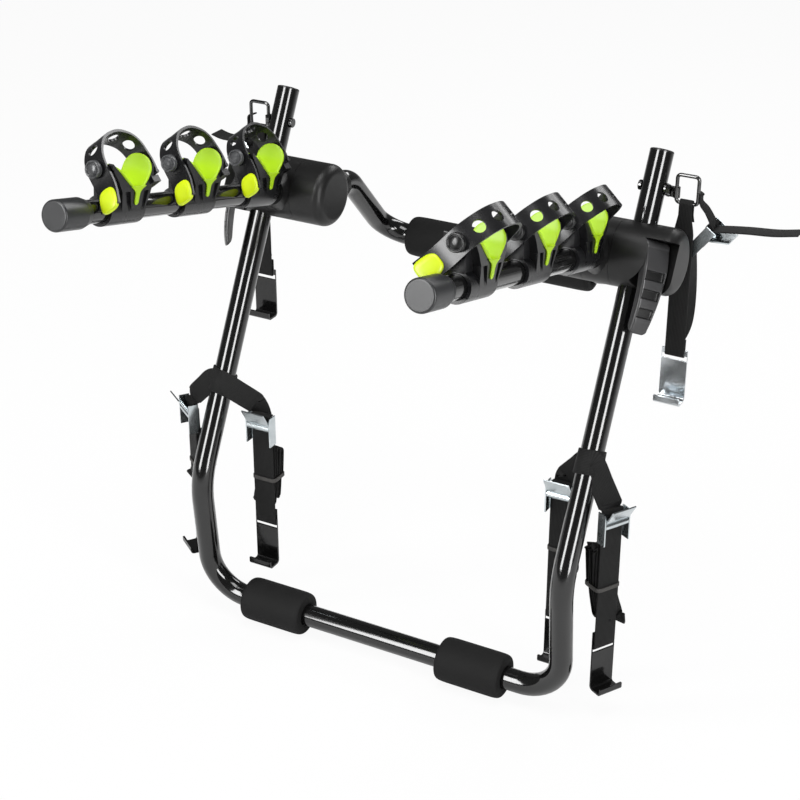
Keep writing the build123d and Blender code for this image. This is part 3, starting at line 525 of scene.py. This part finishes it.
def grid_piece(name, points, material, body, ends="closed", uv=None):
    """A mesh from points[i, j] in metres: i runs along the piece and j round it. The two ends are closed
    with one face each, or joined to each other."""
    along, around = points.shape[:2]
    i, j = np.meshgrid(np.arange(along if ends == "joined" else along - 1), np.arange(around), indexing="ij")
    here, there, beside = i * around, (i + 1) % along * around, (j + 1) % around
    faces = np.stack([here + j, there + j, there + beside, here + beside], -1).reshape(-1, 4).tolist()
    if ends == "closed":
        faces.append(list(range(around)))
        faces.append(list(range((along - 1) * around, along * around))[::-1])
    mesh = bpy.data.meshes.new(name)
    mesh.from_pydata(points.reshape(-1, 3).tolist(), [], faces)
    mesh.update()
    if uv is not None:
        layer = mesh.uv_layers.new(name="UVMap")
        index = np.empty(len(mesh.loops), np.int32)
        mesh.loops.foreach_get("vertex_index", index)
        layer.data.foreach_set("uv", uv.reshape(-1, 2)[index].astype(np.float32).ravel())
    mesh.shade_smooth()
    piece = bpy.data.objects.new(name, mesh)
    piece.data.materials.append(material)
    bpy.context.scene.collection.objects.link(piece)
    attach(piece, body)
    return piece

# %% [markdown]
# ## Foam pads
# Four foam sleeves keep the tubes off the car. Foam is cut from a long tube,
# so its ends are flat with soft edges, and it is squeezed a little unevenly.
# A turned profile with a slow ripple in its radius gives that.

# %% Foam pads
foam_bore, foam_fill = 0.0144, 0.95
pad_stations, pad_sides, pad_power = 44, 72, 0.22
ripple_round, ripple_along = 0.006, 0.004
pad_names = ("lower_pad_left", "lower_pad_right", "upper_pad_left", "upper_pad_right")


def foam_pad(pad, seed):
    """Radius over length: a superellipse from the bore to the rim and back, with a slow ripple round it."""
    low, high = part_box(pad)
    half, rim = (high.x - low.x) / 2, (high.z - low.z) / 2
    a, turned = np.linspace(0, np.pi, pad_stations), circle(pad_sides)
    x = (low.x + high.x) / 2 - signed_power(np.cos(a), pad_power) * half
    wall = (rim - foam_bore) * np.abs(np.sin(a)) ** pad_power
    ripple = (1 + ripple_round * np.sin(2 * turned + seed)[None] * np.sin(a)[:, None]
              + ripple_along * np.sin(3 * a + seed)[:, None])
    radius = np.minimum(foam_bore + wall[:, None] * ripple, rim)
    points = np.stack([
        np.broadcast_to(x[:, None], radius.shape),
        (low.y + high.y) / 2 + radius * np.cos(turned)[None],
        (low.z + high.z) / 2 + radius * np.sin(turned)[None],
    ], -1)
    body = "main_frame" if pad.startswith("lower") else "upper_frame"
    piece = grid_piece(pad + "_foam", points, foam, body, ends="joined")
    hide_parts(pad)
    return piece


pads = [foam_pad(pad, seed) for seed, pad in enumerate(pad_names)]
print("foam pads", len(pads))

# %% [markdown]
# ## Webbing
# The straps are woven tape, 30 mm wide and under 2 mm thick. Its weave shows
# as fine ribs across the tape with a plain edge on each side. The tape's own
# length and width are its UV map, in metres, so the ribs follow every fold.

# %% Webbing material
def webbing_material():
    """Black woven tape: ribs across it times yarns along it, as a colour and as a height."""
    m, tree, surface = new_material("black_webbing")
    uv = new_node(tree, "UVMap").outputs["UV"]
    ribs = new_node(tree, "TexWave", Vector=uv, Scale=260.0, Distortion=0.6, Detail=1.0)
    ribs.bands_direction = "X"
    yarns = new_node(tree, "TexWave", Vector=uv, Scale=180.0, Distortion=0.8)
    yarns.bands_direction = "Y"
    weave = math_node(tree, "MULTIPLY", ribs.outputs["Fac"], yarns.outputs["Fac"])
    place = new_node(tree, "TexCoord").outputs["Object"]
    tone = mottled(tree, place, 0.002, 0.006, (0.62, 0.8), 120.0)
    colour = mix_node(tree, "RGBA", weave, tone["Color"], rgba(0.026))
    bump = new_node(tree, "Bump", Height=weave, Strength=0.5, Distance=0.0004)
    principled(tree, surface, colour, tone["Roughness"], bump.outputs["Normal"],
               Sheen_Weight=0.05, Specular_IOR_Level=0.18, Sheen_Roughness=0.4)
    return m


webbing = webbing_material()
print("webbing nodes", len(webbing.node_tree.nodes))

# %% [markdown]
# ## Hanging tapes
# A tape is one flat section carried along a line. Each of the four lower
# straps hangs as one: up from a sewn loop in the hook, through the buckle, and
# down again in folds whose ends swing sideways a little. A band round the leg
# and a short tape from it to the buckle's bar hold the strap.

# %% Hanging tapes
tape_width, tape_thick, tape_sides = 30.0, 1.8, 20
tape_edge_power, tape_face_power = 0.16, 0.5
pitch, sewn, folds = 4.4, 22.0, 4
# buckle's place, its turn in degrees, top and foot of the folds, height of the hook, swing of the folds
lower_straps = {
    "side_strap_left": ((-289, 28, 233), -36, 205, 122, 92, -20.0),
    "lower_strap_left": ((-190, 40, 232), 0, 203, 118, 92, -5.0),
    "side_strap_right": ((288, 34, 231), 60, 203, 92, 62, 14.0),
    "lower_strap_right": ((214, 62, 232), 0, 203, 118, 60, 4.0),
}
# half turns: share of the pitch behind the front ply, and height over the turn's own level
hook_turn = ((1.0, 8.0), (0.9, 2.2), (0.5, 0.1), (0.1, 2.2), (0.0, 8.0))
bar_turn = ((0.0, -6.0), (0.1, -2.0), (0.5, -0.2), (0.9, -2.0), (1.0, -6.0))
buckle_top, over_hook, mid_bow = 11.0, 40.0, 0.3
# ends of the folds: how far each stops short, and its share of the swing
fold_short, fold_swing = (0.0, 0.0, 7.0, -6.0), (1.0, -0.35, 0.7, -0.2)
# stations before a fold's end: bulge past the ply, height to the end, share of the fold's swing
fold_bulge = ((1.3, 9.0, 0.8), (0.6, 3.0, 1.0))


def tape(name, line, wide, width, material=webbing):
    """A superellipse section, wide in one direction and thin in the other, carried along a line. The line
    and the width are in millimetres."""
    line = np.asarray(line, float) * mm
    wide = np.broadcast_to(np.asarray(wide, float), line.shape)
    width = np.broadcast_to(np.asarray(width, float) * mm, line.shape[:1])
    step = direction_of(line)
    across = wide - (wide * step).sum(1, keepdims=True) * step
    across /= np.linalg.norm(across, axis=1, keepdims=True)
    face = np.cross(step, across)
    flat = signed_power(np.cos(circle(tape_sides)), tape_edge_power) / 2
    thin = signed_power(np.sin(circle(tape_sides)), tape_face_power) / 2 * (tape_thick * mm)
    points = (line[:, None] + across[:, None] * (flat[None, :, None] * width[:, None, None])
              + face[:, None] * thin[None, :, None])
    run = run_of(line)
    uv = np.stack([np.broadcast_to(run[:, None], points.shape[:2]), flat[None] * width[:, None] + 0.5], -1)
    piece = grid_piece(name, points, material, "main_frame", uv=uv)
    return piece


def local_axes(yaw):
    """Across the tape, and out of its face, for a tape that hangs and is turned by yaw."""
    out_dir = np.array((math.sin(math.radians(yaw)), -math.cos(math.radians(yaw)), 0))
    return np.cross(z_dir, out_dir), out_dir


def half_turn(stations, level):
    """Depth and height of a half turn's stations at a level."""
    return [(-pitch * share, level + over) for share, over in stations]


def hanging_tape(name, place, yaw, high, low, hook_z, swing):
    """Up from the sewn hook loop, through the buckle, and down in folds that end at different heights."""
    across, out_dir = local_axes(yaw)
    end, high, low = hook_z - place[2], high - place[2], low - place[2]
    mid = (low + high) / 2
    path = [(-pitch, end + sewn), *half_turn(hook_turn, end), (0, end + over_hook), (mid_bow, mid),
            *half_turn(bar_turn, buckle_top)]
    path = [(*station, 0) for station in path]
    for fold in range(folds):
        depth, back = -pitch * (fold + 1), -1 if fold % 2 else 1
        level = (high if fold % 2 else low) + fold_short[fold]
        lean = fold_swing[fold] * swing
        path.append((depth, mid, 0))
        path += [(depth + bulge, level + back * rise, lean * share) for bulge, rise, share in fold_bulge]
        path.append((depth - pitch / 2, level, lean))
        path += [(depth - pitch - bulge, level + back * rise, lean * share)
                 for bulge, rise, share in fold_bulge[::-1]]
    path.append((-pitch * (folds + 1), mid, 0))
    p = smooth_line(path)
    line = np.array(place) + p[:, :1] * out_dir + p[:, 1:2] * z_dir + p[:, 2:] * across
    return tape(name + "_tape", line, across, tape_width)


for name, spec in lower_straps.items():
    hanging_tape(name, *spec)
    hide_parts(name)

# %% [markdown]
# ## Bands and tapes on the legs
# A band goes round each leg. From it one tape runs straight to each buckle
# and turns down to the bar in an arc. The straight run is the arc's tangent,
# so the tape has no kink where they meet.

# %% Leg tapes
lower_leg, lower_lean = 165.4, math.radians(5.1)
bend = np.array((0, -lower_leg * math.sin(lower_lean), lower_leg * math.cos(lower_lean)))
bar_up, bar_wrap, bar_angles = 16.8, 3.3, (90, 40, -20, -80, -140, -200)
bend_radius, bend_stations, bend_power = 19.0, 7, 1.5
start_out, start_aside = 15.3, 1.0
leave_out, leave_aside, leave_drop = 14.0, 10.0, 1.0
# along a leg tape: shares of its run, and its width there
leg_tape_shares, leg_tape_widths = (0, 0.3, 0.6, 1), (29, 29, 25.5, 28)
face_ease = 0.2
band_at, band_slant = {"left": 130.0, "right": 144.5}, {"left": -4.0, "right": 1.0}
band_height, band_inner, band_outer, band_corner = 29.4, 14.15, 16.3, 0.5
band_flare, band_sides, band_run, band_length = 0.8, 64, 0.1, 0.0955


def mirrored(side):
    """What turns a place on the right-hand side into one on the given side."""
    return np.array((1 if side == "right" else -1, 1, 1))


def leg_place(side):
    """The middle of a leg's tube where its band sits, and the leg's node."""
    return bend + x_dir * (mirrored(side)[0] * leg_half) + leg_up * band_at[side], "frame_half_" + side


def leg_tape(name, place, yaw):
    """A straight run from the leg, then an arc that touches it and ends upright over the buckle's top bar.
    In the tape's plane the arc's centre lies one radius beside the bar, so the run is the tangent to it."""
    across, out_dir = local_axes(yaw)
    kind, _, side = name.split("_")
    middle, leg = leg_place(side)
    aside = x_dir * mirrored(side)[0] * (-1.0 if kind == "lower" else 1.0)
    front = -leg_front if name == "lower_strap_right" else leg_front
    start = middle + front * start_out + aside * start_aside
    leave = middle + front * leave_out + aside * leave_aside - leg_up * leave_drop
    angle = np.radians(bar_angles)[:, None]
    turned = np.cos(angle) * z_dir - np.sin(angle) * out_dir
    loop = np.array(place, float) + z_dir * bar_up + bar_wrap * turned
    gap = leave - loop[0]
    beside, rise = bend_radius - abs(gap[0]), gap[2]
    far = math.hypot(beside, rise)
    steepest = math.atan2(rise, beside) - math.acos(min(bend_radius / far, 1.0))
    angle = np.linspace(steepest, 0, bend_stations)[:, None]
    out, up = bend_radius * (np.cos(angle) - 1), bend_radius * np.sin(angle)
    depth = np.clip(up / rise, 0, 1) ** bend_power * gap[1]
    arc = loop[0] + out * aside + up * z_dir + depth * y_dir
    line = smooth_line(np.vstack([start, leave, (leave + arc[0]) / 2, arc]))
    share = np.clip(np.linspace(-face_ease, 1 + face_ease, len(line)), 0, 1)[:, None]
    wide = np.cross(np.gradient(line, axis=0), leg_front * (1 - share) + out_dir * share)
    wide /= np.linalg.norm(wide, axis=1, keepdims=True)
    ring = smooth_line(loop, 6)[1:]
    wide = np.vstack([wide, np.broadcast_to(across * np.sign(wide[-1] @ across), ring.shape)])
    line = np.vstack([line, ring])
    width = np.interp(np.linspace(0, 1, len(line)), leg_tape_shares, leg_tape_widths)
    return tape(name + "_leg_tape", line, wide, width)


def leg_band(side):
    """A ring of flat sections, each carried round the tube and tilted by a cosine of the angle."""
    middle, leg = leg_place(side)
    turned, half, corner = circle(band_sides), band_height / 2, band_corner
    rim = band_outer - corner
    section = np.array(((band_inner, -half), (band_inner, half), (rim, half), (band_outer, half - corner),
                        (band_outer, corner - half), (rim, -half)))
    radial = np.cos(turned)[:, None] * x_dir + np.sin(turned)[:, None] * leg_front
    flare = band_flare * (section[:, 1] < 0) * (section[:, 0] > band_inner)
    tilt = band_slant[side] * np.cos(turned)
    ring = (middle + (section[None, :, :1] + flare[None, :, None]) * radial[:, None]
            + (section[None, :, 1:] + tilt[:, None, None]) * leg_up)
    run = np.linspace(0, band_run, band_sides)[:, None]
    uv = np.stack(np.broadcast_arrays(run, section[None, :, 1] * mm + 0.5), -1)
    piece = grid_piece("leg_band_" + side, ring * mm, webbing, "main_frame", ends="joined", uv=uv)
    return piece


bands = [leg_band(side) for side in ("left", "right")]
leg_tapes = [leg_tape(name, place, yaw) for name, (place, yaw, *_) in lower_straps.items()]
print("bands", len(bands), "leg tapes", len(leg_tapes))

# %% [markdown]
# ## Elastic keepers
# A thin elastic ring holds each folded bundle together, too narrow to count
# as a sheet. It is a rounded rectangle seen from above.

# %% Keepers
keeper_width, keeper_drop, keeper_sides = 5.0, 1.8, 65
keeper_half, keeper_clear, keeper_power = 16.4, 1.4, 0.3


def keeper(name, place, yaw, high, low):
    """A rounded rectangle round the bundle, closed on itself, with a flat section."""
    across, out_dir = local_axes(yaw)
    angle = np.linspace(0, 2 * np.pi, keeper_sides)
    deep = pitch * (folds + 1)
    x = signed_power(np.cos(angle), keeper_power) * keeper_half
    y = signed_power(np.sin(angle), keeper_power) * ((deep + tape_thick) / 2 + keeper_clear) - deep / 2
    middle = np.array((place[0], place[1], (high + low) / 2 - keeper_drop))
    line = middle + x[:, None] * across + y[:, None] * out_dir
    return tape(name, line, z_dir, keeper_width, material=elastic)


keepers = [keeper(name.replace("strap", "keeper"), place, yaw, high, low)
           for name, (place, yaw, high, low, *_) in lower_straps.items()]
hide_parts("strap_ties")
print("keepers", len(keepers))

# %% [markdown]
# ## Top straps
# From the wire ring at the top of each leg one tape hangs behind the hub to
# its hook. A second ply comes back up, turns on the way, and goes through the
# cam buckle, and its free tail points away from the rack. A short tape ties
# the ring to the buckle.

# %% Top straps
anchor_up, eye_out, eye_back = 80.0, 274.5, 10.0
ring_low = hub + leg_up * anchor_up + x_dir * eye_out - leg_front * eye_back + (13.0, 0, -11.5)
top_back, top_width, top_narrow, narrow_from, narrow_over = 6.6, 24.0, 8.0, 34.0, 20.0
# the hanging ply between its hook and the ring, and over the ring: depth and height
top_bow, top_rise = (0.4, -90.0), ((0.0, -30.0), (0.0, -4.0), (-0.6, 1.6))
ring_over, over_top_hook = 4.0, 60.0
buckle_lean, exit_lean = math.radians(37), math.radians(36)
buckle_from_ring = (16.0, 17.0, -41.0)
foot_below, lip_above, lip_run, hook_over = 20.0, 7.2, 16.0, 26.0
tail_sag = 1.5
# share of the quarter turn that the return ply has made at each of its stations
return_turn_shares = (0, 0.5, 0.85, 1, 1, 1, 1, 1, 1, 1, 1)
bow_from_ring = (13.0, 0, 6.0)
ring_wrap = ((-2.4, 2.6, 9), (0.5, 3.5, 8), (3.3, 1.0, 6), (4.0, 2, -3))
ring_angles, ring_mid = (80, 0, -80, -160, -220), (3.0, 1, 2)
ring_tape_widths = (9, 10, 22, 24)


def between(a, b, share, aside=(0, 0, 0)):
    """A point at a share of the way from a to b, moved aside."""
    return a * (1 - share) + b * share + np.array(aside)


def top_tapes(side, hook_z, tail):
    """Three tapes: the hanging ply, the return ply with its tail, and the short tape from ring to buckle."""
    flip = mirrored(side)
    origin = ring_low - y_dir * (top_back / 2)
    fall = ring_low[2] - hook_z
    top_fall = [(-top_back - depth, height) for depth, height in top_rise[:0:-1]]
    path = [(-pitch, -fall + sewn), *half_turn(hook_turn, -fall), (0, -fall + over_top_hook), top_bow,
            *top_rise, (-top_back / 2, ring_over), *top_fall, (-top_back, -sewn)]
    p = smooth_line(path)
    line = origin - p[:, :1] * y_dir + p[:, 1:] * z_dir
    width = top_width - top_narrow * np.clip((p[:, 1] + narrow_from) / narrow_over, 0, 1)
    hang = tape("top_tape_" + side, line * flip, x_dir, width)
    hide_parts("top_strap_" + side)

    slant = x_dir * math.sin(buckle_lean) + z_dir * math.cos(buckle_lean)
    out_dir = np.cross(y_dir, slant)
    place = ring_low + buckle_from_ring
    hook_top = origin - z_dir * (fall - hook_over)
    foot, lip = place - slant * foot_below, place + slant * lip_above
    over = lip + (out_dir * math.sin(exit_lean) + slant * math.cos(exit_lean)) * lip_run
    tail_run = (out_dir + slant) / math.sqrt(2) * tail
    half_way = between(foot, hook_top, 0.5, (6, 8, 0))
    stations = np.vstack([
        hook_top + (0, 0.9, 0), between(hook_top, half_way, 0.4, (3, 1, 0)), half_way,
        between(half_way, foot, 0.7, (1.5, 1, 0)), foot, place, lip, over,
        over + tail_run * 0.35, over + tail_run * 0.7 - z_dir * tail_sag, over + tail_run])
    p = smooth_line(np.column_stack([stations, return_turn_shares]), 10)
    turned = np.clip(p[:, 3:], 0, 1) * np.pi / 2
    wide = x_dir * np.cos(turned) + y_dir * np.sin(turned)
    tape("return_tape_" + side, p[:, :3] * flip, wide * flip, top_width)

    bow, bar = ring_low + bow_from_ring, place + slant * bar_up
    angle = np.radians(ring_angles)[:, None]
    loop = bar + bar_wrap * (np.cos(angle) * z_dir + np.sin(angle) * x_dir)
    line = smooth_line(np.vstack([bow + ring_wrap, between(bow, bar, 0.5, ring_mid), loop]))
    width = np.interp(np.linspace(0, 1, len(line)), leg_tape_shares, ring_tape_widths)
    tape("ring_tape_" + side, line * flip, y_dir, width)
    return hang


top_hang = [top_tapes("right", 372.0, 95.0), top_tapes("left", 360.0, 45.0)]
print("top straps", len(top_hang))

# %% [markdown]
# ## Grip tabs
# Each cradle strap ends in a bright soft tab, moulded round the strap's end,
# that the user pulls. It is a superellipsoid, longer than wide and slightly
# thicker in its middle.

# %% Grip tabs
arm_x, first_cradle, cradle_pitch = 211.6, 411, 136
peg_out, peg_up = 1.0, 44.5
arm_dir = np.array(joints["cradle_right_1_swivel"]["axis"], float)
arm_dir *= -np.sign(arm_dir[1])
arm_up = np.cross(x_dir, arm_dir)
arm_up *= np.sign(arm_up[2])
strap_lean = math.radians(40)
loop_up = x_dir * math.sin(strap_lean) + arm_up * math.cos(strap_lean)
loop_across = arm_up * math.sin(strap_lean) - x_dir * math.cos(strap_lean)
tip_ahead, tip_below, root_behind, root_below = 4.0, 47.5, 5.0, 25.0
tab_half, tab_wide, tab_spread, tab_thick, tab_shift = 13.5, 12.0, 1.5, 4.2, 1.0
end_power, taper_power, side_power, face_power = 0.7, 0.55, 0.6, 0.8


def arm_place(number):
    """The middle of the arm's tube under a cradle."""
    return hub + x_dir * arm_x + arm_dir * (first_cradle - (number - 1) * cradle_pitch)


def peg_place(number):
    """The middle of a cradle's peg."""
    return arm_place(number) + x_dir * peg_out + arm_up * peg_up


def grip_tab(side, number):
    """Superellipsoid: cosines and sines of two angles, raised to powers below one, over three half sizes."""
    peg = peg_place(number)
    tip = peg + arm_dir * tip_ahead - loop_up * tip_below
    root = peg - arm_dir * root_behind - loop_up * root_below
    long_dir = unit(tip - root)
    thick_dir = np.cross(long_dir, loop_across)
    u, v = np.linspace(-np.pi / 2, np.pi / 2, 25)[:, None], circle(40)[None]
    ring = np.abs(np.cos(u)) ** taper_power
    b = ring * signed_power(np.cos(v), side_power) * (tab_wide + tab_spread * np.sin(u))
    c = ring * signed_power(np.sin(v), face_power) * tab_thick
    a = np.broadcast_to(signed_power(np.sin(u), end_power) * tab_half, b.shape)
    middle = (tip + root) / 2 + long_dir * tab_shift
    points = middle + a[..., None] * long_dir + b[..., None] * loop_across + c[..., None] * thick_dir
    return grid_piece(f"grip_tab_{side}_{number}", points * mirrored(side) * mm, yellow_rubber,
                      f"cradle_{side}_{number}")


cradles = [(side, number) for side in ("right", "left") for number in (1, 2, 3)]
tabs = [grip_tab(side, number) for side, number in cradles]
print("grip tabs", len(tabs))

# %% [markdown]
# ## Quick release levers
# Each hub has a long lever that is pulled with the fingers, so its face has
# three recesses. The lever is a stack of sections from its pivot down to its
# tip. Each section is a closed loop with a front, two sides and a back, and the
# front is pushed in where it crosses a recess.

# %% Levers
knuckle, tip_from, tip_round = 9.0, 92.0, 6.0
half_at, half_wide, tip_narrow = (0, 24.5, 98), (16.4, 16.4, 11.2), 5.0
# height along the lever, and how far its front and its back lie out from the pivot
front_line = ((0, 9.0), (-12, 12.4), (-24, 14.4), (-36, 15.0), (-60, 14.0), (-80, 10.9), (-92, 7.6),
              (-98, 5.4))
back_line = ((0, -9.0), (-5, -6.6), (-10, -2.0), (-16, 0.5), (-32, 3.6), (-49, 5.0), (-70, 3.0), (-88, 0.5),
             (-95, 2.2), (-98, 4.4))
corner_round, corner_share, crown = 3.2, 0.45, 0.5
recess_tall, recess_deep, recess_edge = 5.6, 4.2, (0.35, -0.75)


def smooth_step(low, high, value):
    """0 below low, 1 above high and 3t^2 - 2t^3 between them."""
    t = np.clip((value - low) / (high - low), 0, 1)
    return t * t * (3 - 2 * t)


def lever(side):
    """Front depth minus a rounded corner, a crown and the recesses; the back follows its own line."""
    v = np.concatenate([knuckle * np.cos(np.linspace(0.02, np.pi / 2, 24)), np.linspace(-0.6, -tip_from, 154),
                        -tip_from - tip_round * np.sin(np.linspace(0.1, np.pi / 2, 14))])
    round_n = np.sqrt(np.clip(knuckle**2 - v**2, 0.04, None))
    front, back = smooth_line(front_line, 16), smooth_line(back_line, 16)
    n_front = np.where(v > 0, round_n, np.interp(-v, -front[:, 0], front[:, 1]))[:, None]
    n_back = np.where(v > 0, -round_n, np.interp(-v, -back[:, 0], back[:, 1]))[:, None]
    half = np.interp(-v, half_at, half_wide) - tip_narrow * np.clip((-tip_from - v) / tip_round, 0, 1) ** 3
    half, v = half[:, None], v[:, None]
    span = np.sin(np.linspace(-np.pi / 2, np.pi / 2, 64)) * 0.35 + np.linspace(-1, 1, 64) * 0.65
    a = span[None] * half
    corner = np.minimum(corner_round, (n_front - n_back) * corner_share)
    past = np.clip((np.abs(a) - (half - corner)) / corner, 0, 1)
    face = n_front - corner * (1 - np.sqrt(1 - past**2)) - crown * span[None] ** 2
    for step in range(recess_count):
        far_side = np.abs(a) - (recess_half - recess_taper * step)
        far_up = np.abs(v + recess_first + recess_pitch * step) - recess_tall
        face = face - recess_deep * smooth_step(*recess_edge, np.maximum(far_side, far_up))
    sides = np.linspace(0, 1, 7)[1:-1]
    right = face[:, -1:] + (n_back - face[:, -1:]) * sides
    left = n_back + (face[:, :1] - n_back) * sides
    back_a = np.linspace(1, -1, 14)[None] * half
    loop_a = np.hstack([a, np.broadcast_to(half, right.shape), back_a, np.broadcast_to(-half, left.shape)])
    loop_n = np.hstack([face, right, np.broadcast_to(n_back, back_a.shape), left])
    points = (lever_pivot + loop_a[..., None] * lever_across + loop_n[..., None] * lever_out
              + v[..., None] * leg_up)
    piece = grid_piece("release_lever_" + side, points * mirrored(side) * mm, lever_plastic,
                       "clamp_lever_" + side)
    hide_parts("clamp_lever_" + side)
    return piece


for side in ("right", "left"):
    print("release lever", side, "faces", len(lever(side).data.polygons))

# %% [markdown]
# ## Soft liners and peg heads
# The bright saddle of each cradle is one soft moulding: it runs down from the
# peg, turns at the bottom and ends in a round lobe behind the bicycle's tube,
# and a tail runs down each side. A line through the saddle carries a flat
# section whose width closes like a circle at both ends.

# %% Liners and pegs
mould_sides, mould_edge_power, mould_face_power, mould_fade = 40, 0.22, 0.55, 3.0
# the saddle's middle line: along the arm and up from its tube
saddle = ((-16.4, 50.0), (-30.0, 40.2), (-45.1, 28.9), (-55.8, 24.4), (-64.6, 25.6), (-72.0, 33.4),
          (-76.4, 41.0), (-78.6, 50.0), (-79.6, 58.5))
saddle_half, saddle_thick, front_round, rear_round = 18.9, 3.0, 13.0, 17.5
tail_top, tail_run = (-57.6, 27.0), (2.0, -20.5)
tail_half, tail_mouth, tail_taper, tail_thick = 2.6, 9.5, 1.8, 2.0
mouth_share, tail_end_share = 0.42, 0.14
tail_offsets = {"outer": 18.0, "inner": -18.0}
# the peg head's turned profile: radius and height, from the dome over the rim to its back
peg_profile = ((0.5, 2.2), (2.5, 2.1), (4.6, 1.6), (6.2, 0.8), (6.9, 0.3), (7.3, 0.5), (7.8, 1.3), (8.5, 1.6),
               (9.2, 1.3), (9.6, 0.5), (9.7, -1.0), (9.6, -2.6), (9.1, -3.4), (0.5, -3.5))
peg_sides = 48


def flat_moulding(name, line, wide, half_width, thick, body):
    """Superellipse sections along a line, with a half width per station and thin ends."""
    face = np.cross(direction_of(line), wide)
    flat = signed_power(np.cos(circle(mould_sides)), mould_edge_power)
    thin = signed_power(np.sin(circle(mould_sides)), mould_face_power)
    small = np.minimum(half_width / mould_fade, 1.0)
    points = (line[:, None] + flat[None, :, None] * half_width[:, None, None] * wide
              + (thin[None] * (thick / 2) * small[:, None])[..., None] * face[:, None])
    return grid_piece(name, points * mm, lime_rubber, body)


def liner(side, number):
    """The saddle with its two round ends, and a tail on each side that widens where it leaves the saddle."""
    flip, arm, body = mirrored(side), arm_place(number), f"cradle_{side}_{number}"
    p = smooth_line(saddle, 14)
    run = run_of(p)
    front = np.clip(1 - run / front_round, 0, 1)
    rear = np.clip(1 - (run[-1] - run) / rear_round, 0, 1)
    half = saddle_half * np.sqrt(np.clip(1 - front**2.6, 0.002, 1)) * np.sqrt(np.clip(1 - rear**2, 0.002, 1))
    line = arm + p[:, :1] * arm_dir + p[:, 1:] * arm_up
    pieces = [flat_moulding(f"liner_{side}_{number}", line * flip, x_dir, half, saddle_thick, body)]
    level = np.linspace(0, 1, 26)
    middle = np.array(tail_top) + level[:, None] * tail_run
    half = tail_half + tail_mouth * np.clip(1 - level / mouth_share, 0, 1) ** 2 + tail_taper * (1 - level)
    end = np.clip((level - (1 - tail_end_share)) / tail_end_share, 0, 1)
    half = half * np.sqrt(np.clip(1 - end**2, 0.004, 1))
    for title, offset in tail_offsets.items():
        place = arm + x_dir * offset + middle[:, :1] * arm_dir + middle[:, 1:] * arm_up
        pieces.append(flat_moulding(f"liner_tail_{side}_{number}_{title}", place * flip, arm_dir, half,
                                    tail_thick, body))
    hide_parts(f"cradle_liner_{side}_{number}")
    return pieces


def peg_button(side, number):
    """A turned head: a low dome inside a raised rim, closed behind."""
    profile, turned = smooth_line(peg_profile, 3), circle(peg_sides)
    ring = np.cos(turned)[:, None] * x_dir + np.sin(turned)[:, None] * arm_up
    points = peg_place(number) + profile[:, None, :1] * ring[None] + profile[:, None, 1:] * arm_dir
    material = peg_grey if side == "left" else plug_plastic
    return grid_piece(f"peg_head_{side}_{number}", points * mirrored(side) * mm, material,
                      f"cradle_{side}_{number}")


made = [[*liner(side, number), peg_button(side, number)] for side, number in cradles]
print("liner and peg pieces", sum(len(pieces) for pieces in made))

# %% [markdown]
# ## Last checks
# A mirrored grid has its faces inside out, so each new mesh whose signed volume
# is negative is turned.

# %% Turned faces
bpy.context.view_layer.update()


def flip_inward(piece):
    """Turn a mesh's faces outwards when its signed volume is negative, and say whether it was turned."""
    mesh = piece.data
    mesh.calc_loop_triangles()
    tri = np.empty(len(mesh.loop_triangles) * 3, np.int32)
    mesh.loop_triangles.foreach_get("vertices", tri)
    co = np.empty(len(mesh.vertices) * 3, np.float32)
    mesh.vertices.foreach_get("co", co)
    p = co.reshape(-1, 3)[tri.reshape(-1, 3)]
    inward = np.einsum("ij,ij->i", p[:, 0], np.cross(p[:, 1], p[:, 2])).sum() < 0
    if inward:
        mesh.flip_normals()
    return inward


new_pieces = [obj for obj in bpy.data.objects
              if obj.type == "MESH" and obj.name not in nodes and obj != floor]
print("new pieces", len(new_pieces), "turned", sum(flip_inward(piece) for piece in new_pieces))
